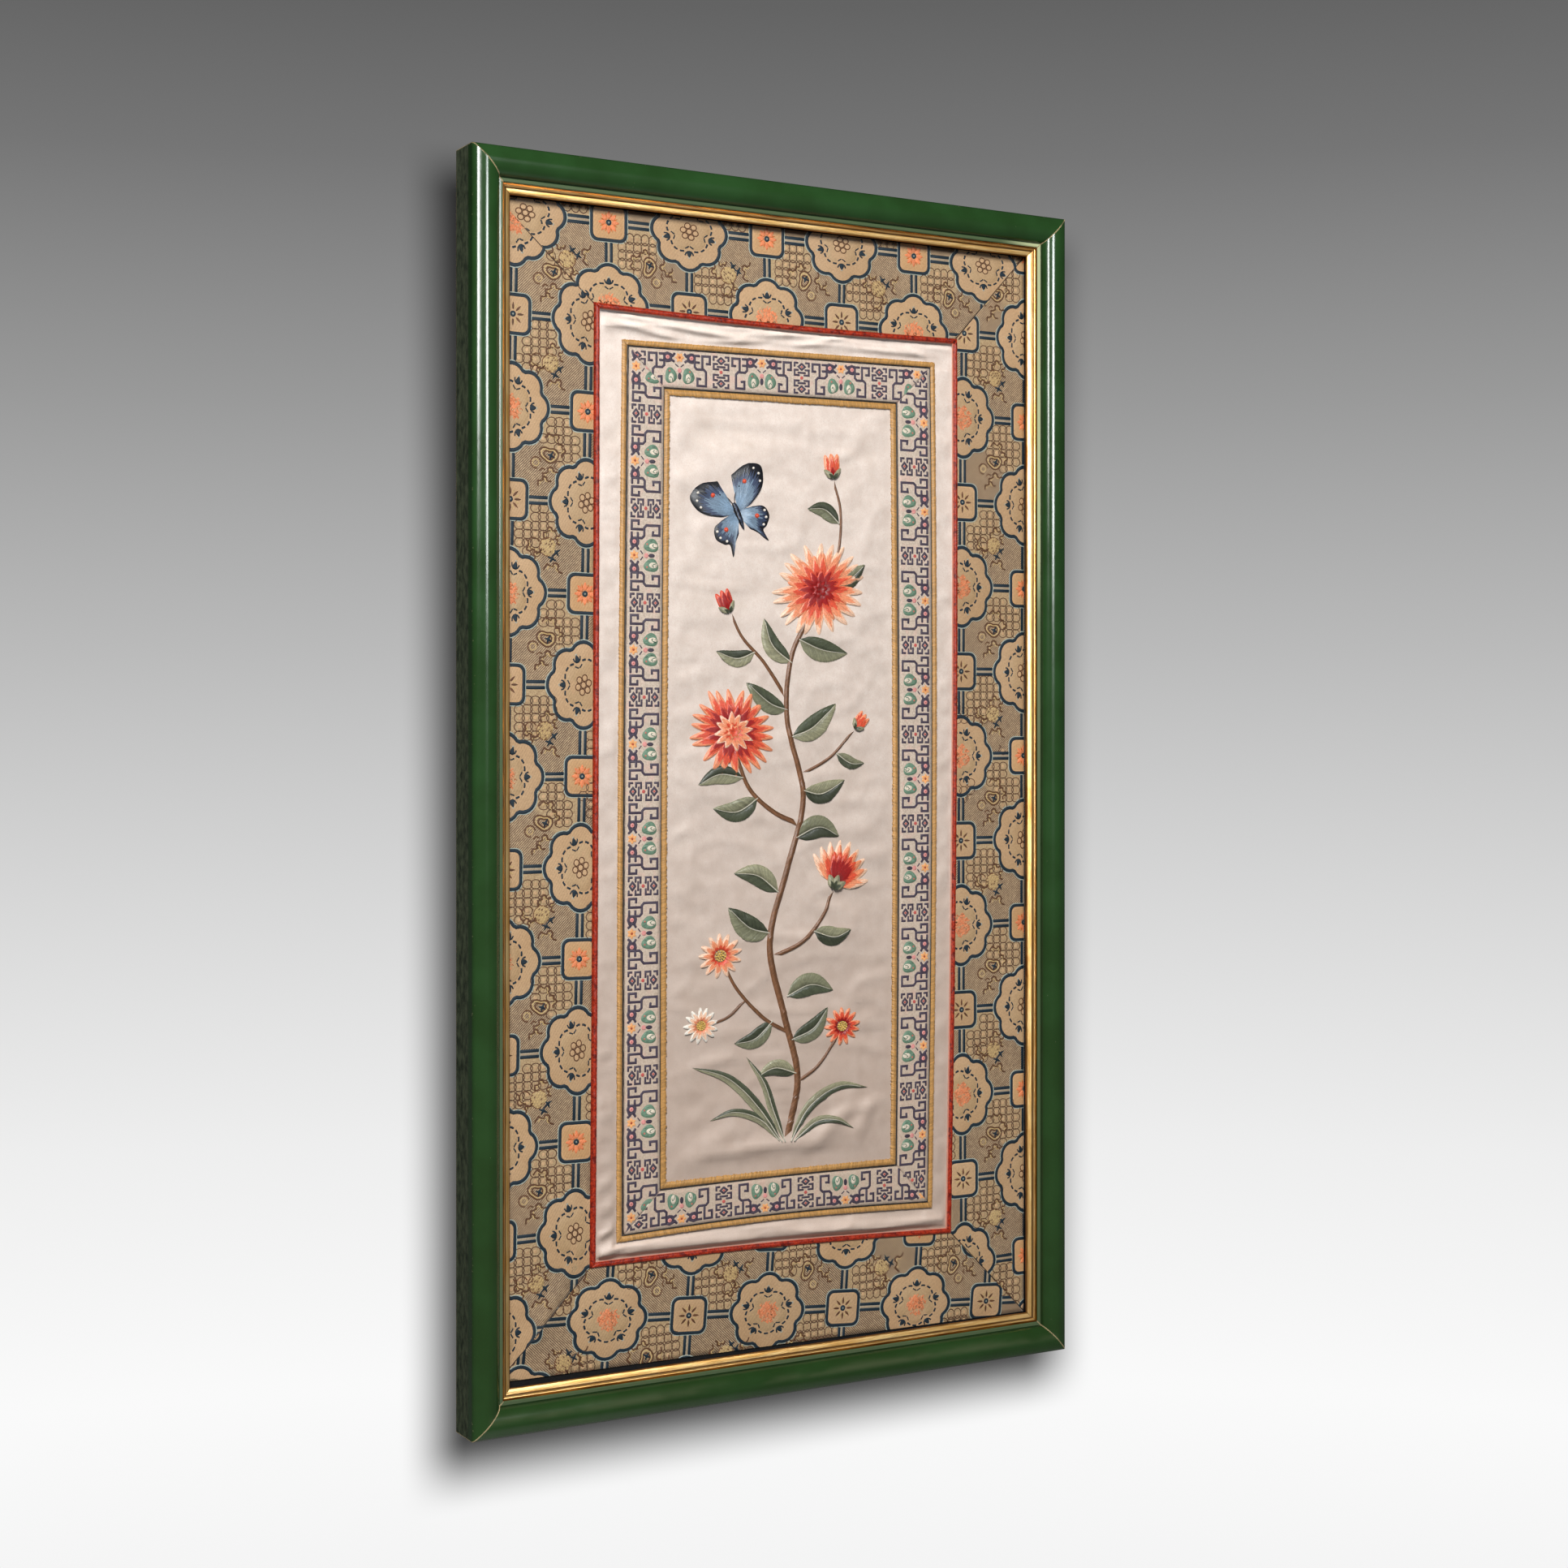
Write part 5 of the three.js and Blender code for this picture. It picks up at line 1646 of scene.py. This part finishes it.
def build_embroidery():
    random = np.random.default_rng(41)
    silk = thread_finish("embroidery_silk", 0.34, 0.35)
    names = ("stems", "leaves", "blades", "flower_upper", "flower_middle", "flower_side",
             "small_flowers", "butterfly")
    groups = {name: Threads() for name in names}
    for points, widths in STEMS:
        stem(groups["stems"], points, widths, random)
    for points, width in BLADES:
        leaf(groups["blades"], points, width, random, LEAF_LIGHT * 0.86, LEAF_DARK * 1.1)
    for k, (points, width) in enumerate(LEAVES):
        tone = random.uniform(0.7, 1.25)
        light, dark = mix(LEAF_DARK * 1.5, LEAF_LIGHT, random.uniform(0.35, 1.0)), LEAF_DARK * tone
        leaf(groups["leaves"], points, width, random, light, dark, -1 if k % 3 == 1 else 1)
    full_flower(groups["flower_upper"], (28, 118), 33, random,
                (PALE_TONES, WARM_TONES, (RED * 0.75, RED, CORAL)), 0.84, 0.5)
    full_flower(groups["flower_middle"], (-31, 33), 29, random,
                (WARM_TONES, (RED * 0.8, RED, CORAL), PALE_TONES), 0.88, -0.4)
    side_flower(groups["flower_side"], np.array((39.0, -58.0)), 27, 1.15, random)
    for place, size, tones in (
        ((-39, -98), 15, PALE_TONES), ((-52, -138), 12, (PEACH, BLUSH, WHITE)),
        ((44, -144), 13, WARM_TONES),
    ):
        aster(groups["small_flowers"], place, size, random, tones)
    for place, angle, size, tones in (
        ((-33, 103), 2.0, 14, (RED, RED, CORAL)), ((38, 185), 1.7, 15, WARM_TONES),
        ((53, 35), 0.8, 12, (CORAL, CORAL, PEACH)),
    ):
        bud(groups["small_flowers"], place, angle, size, random, tones)
    butterfly(groups["butterfly"], (-28, 162), 0.82, 24, random)
    return [add_piece(threads.build(f"embroidery_{name}", satin_level, silk), "embroidery_silk")
            for name, threads in groups.items()]


# Camera, lights, floor and backdrop


FLOOR = -1.2
FLOOR_RADIUS = 1.2
WALL = 0.003  # just behind the panel, whose shadow is painted on it


def add_lamp(name, place, target, size, watts, color=(1, 1, 1), only=(), but=(), glossy=True,
             diffuse=True):
    """An area lamp that lights all objects, only some of them, or all but some."""
    light = bpy.data.lights.new(name, "AREA")
    light.shape, light.size, light.size_y = "RECTANGLE", *size
    light.energy, light.color = watts, color
    lamp = add_object(name, light)
    lamp.location = place
    lamp.rotation_euler = (Vector(target) - lamp.location).to_track_quat("-Z", "Y").to_euler()
    lamp.visible_camera, lamp.visible_glossy, lamp.visible_diffuse = False, glossy, diffuse
    if only or but:
        group = bpy.data.collections.new(f"{name}_group")
        for other in only or but:
            group.objects.link(bpy.data.objects[other])
        lamp.light_linking.receiver_collection = group
        for link in group.collection_objects:
            link.light_linking.link_state = "INCLUDE" if only else "EXCLUDE"


def set_camera():
    camera = add_object("camera", bpy.data.cameras.new("camera"))
    camera.location = (-0.7051, -1.2462, 0.0330)
    camera.rotation_euler = (math.radians(90), 0, math.radians(-29.835))
    camera.data.lens = 55.15
    camera.data.sensor_width = 36
    camera.data.shift_y = -0.0333
    bpy.context.scene.camera = camera


# Greys of the backdrop as a screen shows them, from below to above: the sine of a direction's
# height above level, and the grey there.
BACKDROP = (
    (-0.33, 244), (-0.26, 250), (-0.166, 238), (-0.067, 215), (-0.022, 203), (0.034, 186),
    (0.135, 153), (0.231, 117), (0.29, 99),
)
# How strongly the backdrop shows, lights what is matt, and shows in gloss.
WORLD_SHARES = {"seen": 1.0, "soft": 0.13, "gloss": 0.1}


def set_world():
    """A backdrop that runs from grey above to white below. It lights the panel dimly and hardly
    shows in its gloss."""
    world = bpy.data.worlds.new("studio")
    bpy.context.scene.world = world
    world.use_nodes = True
    tree = world.node_tree
    place = tree.nodes.new("ShaderNodeTexCoord")
    axes = tree.nodes.new("ShaderNodeSeparateXYZ")
    tree.links.new(place.outputs["Generated"], axes.inputs[0])
    ramp = tree.nodes.new("ShaderNodeValToRGB")
    tree.links.new((Value(tree, axes.outputs[2]) + 0.5).socket, ramp.inputs[0])
    elements = ramp.color_ramp.elements
    while len(elements) < len(BACKDROP):
        elements.new(0.5)
    for element, (height, grey) in zip(elements, BACKDROP):
        element.position = height + 0.5
        element.color = (*rgb(grey, grey, grey), 1)
    path = tree.nodes.new("ShaderNodeLightPath")
    seen, gloss = (Value(tree, path.outputs[f"Is {kind} Ray"]) for kind in ("Camera", "Glossy"))
    soft = WORLD_SHARES["soft"]
    strength = seen * (WORLD_SHARES["seen"] - soft) + gloss * (WORLD_SHARES["gloss"] - soft) + soft
    background = tree.nodes["Background"]
    tree.links.new(ramp.outputs[0], background.inputs[0])
    tree.links.new(strength.socket, background.inputs[1])


def add_stage(name, points, material):
    mesh = bpy.data.meshes.new(name)
    mesh.from_pydata(points, [], [list(range(len(points)))])
    mesh.materials.append(material)
    made = add_object(name, mesh)
    return made


def set_stage():
    rim = [(x, y, FLOOR) for x, y in circle((0, 0), FLOOR_RADIUS, 96).tolist()]
    add_stage("floor", rim, floor_finish())
    corners = [(x, WALL, z) for x, z in ((-3, FLOOR), (3, FLOOR), (3, 2.4), (-3, 2.4))]
    wall = add_stage("backdrop", corners, wall_finish())
    wall.visible_glossy = wall.visible_diffuse = wall.visible_shadow = False
    satin, warm, cool = ["satin_panel_cloth"], (1.0, 0.985, 0.96), (0.95, 0.98, 1)
    backs = ["backing_board", *(f"rail_{side}" for side in SIDES)]
    # The key stays out of all gloss, so the rails reflect only the two windows.
    add_lamp("key", (-0.8, -2.0, 1.05), (0, 0, 0.05), (1.1, 0.8), 69, warm, but=satin, glossy=False)
    add_lamp("key_for_satin", (-0.6, -1.25, 1.85), (0, 0, 0), (0.9, 0.5), 88, warm, satin)
    add_lamp("window_left", (-0.99, -1.386, 0.68), (-0.19, 0, 0.2), (0.22, 0.55), 15, diffuse=False)
    add_lamp("window_right", (0.06, -1.75, 0.5), (0, 0, 0.2), (0.45, 0.5), 23, cool, diffuse=False)
    add_lamp("gleam_right", (0.66, -1.42, 0.03), (0.18, 0, 0), (0.4, 0.9), 2.5, only=["slip_right"])
    add_lamp("gleam_level", (0.8, -1.42, -0.05), (0, 0, 0), (2.0, 0.5), 0.8,
             only=["slip_top", "slip_bottom"])
    add_lamp("behind", (0.5, 1.8, 0.0), (0, 0, 0), (1.2, 0.8), 60, only=backs, glossy=False)


bpy.context.scene.view_settings.view_transform = "Standard"
set_camera()
set_world()
dress_frame()
build_brocade()
build_piping()
satin, satin_area = build_satin()
build_ribbons()
build_braids()
embroidery = build_embroidery()
set_stage()
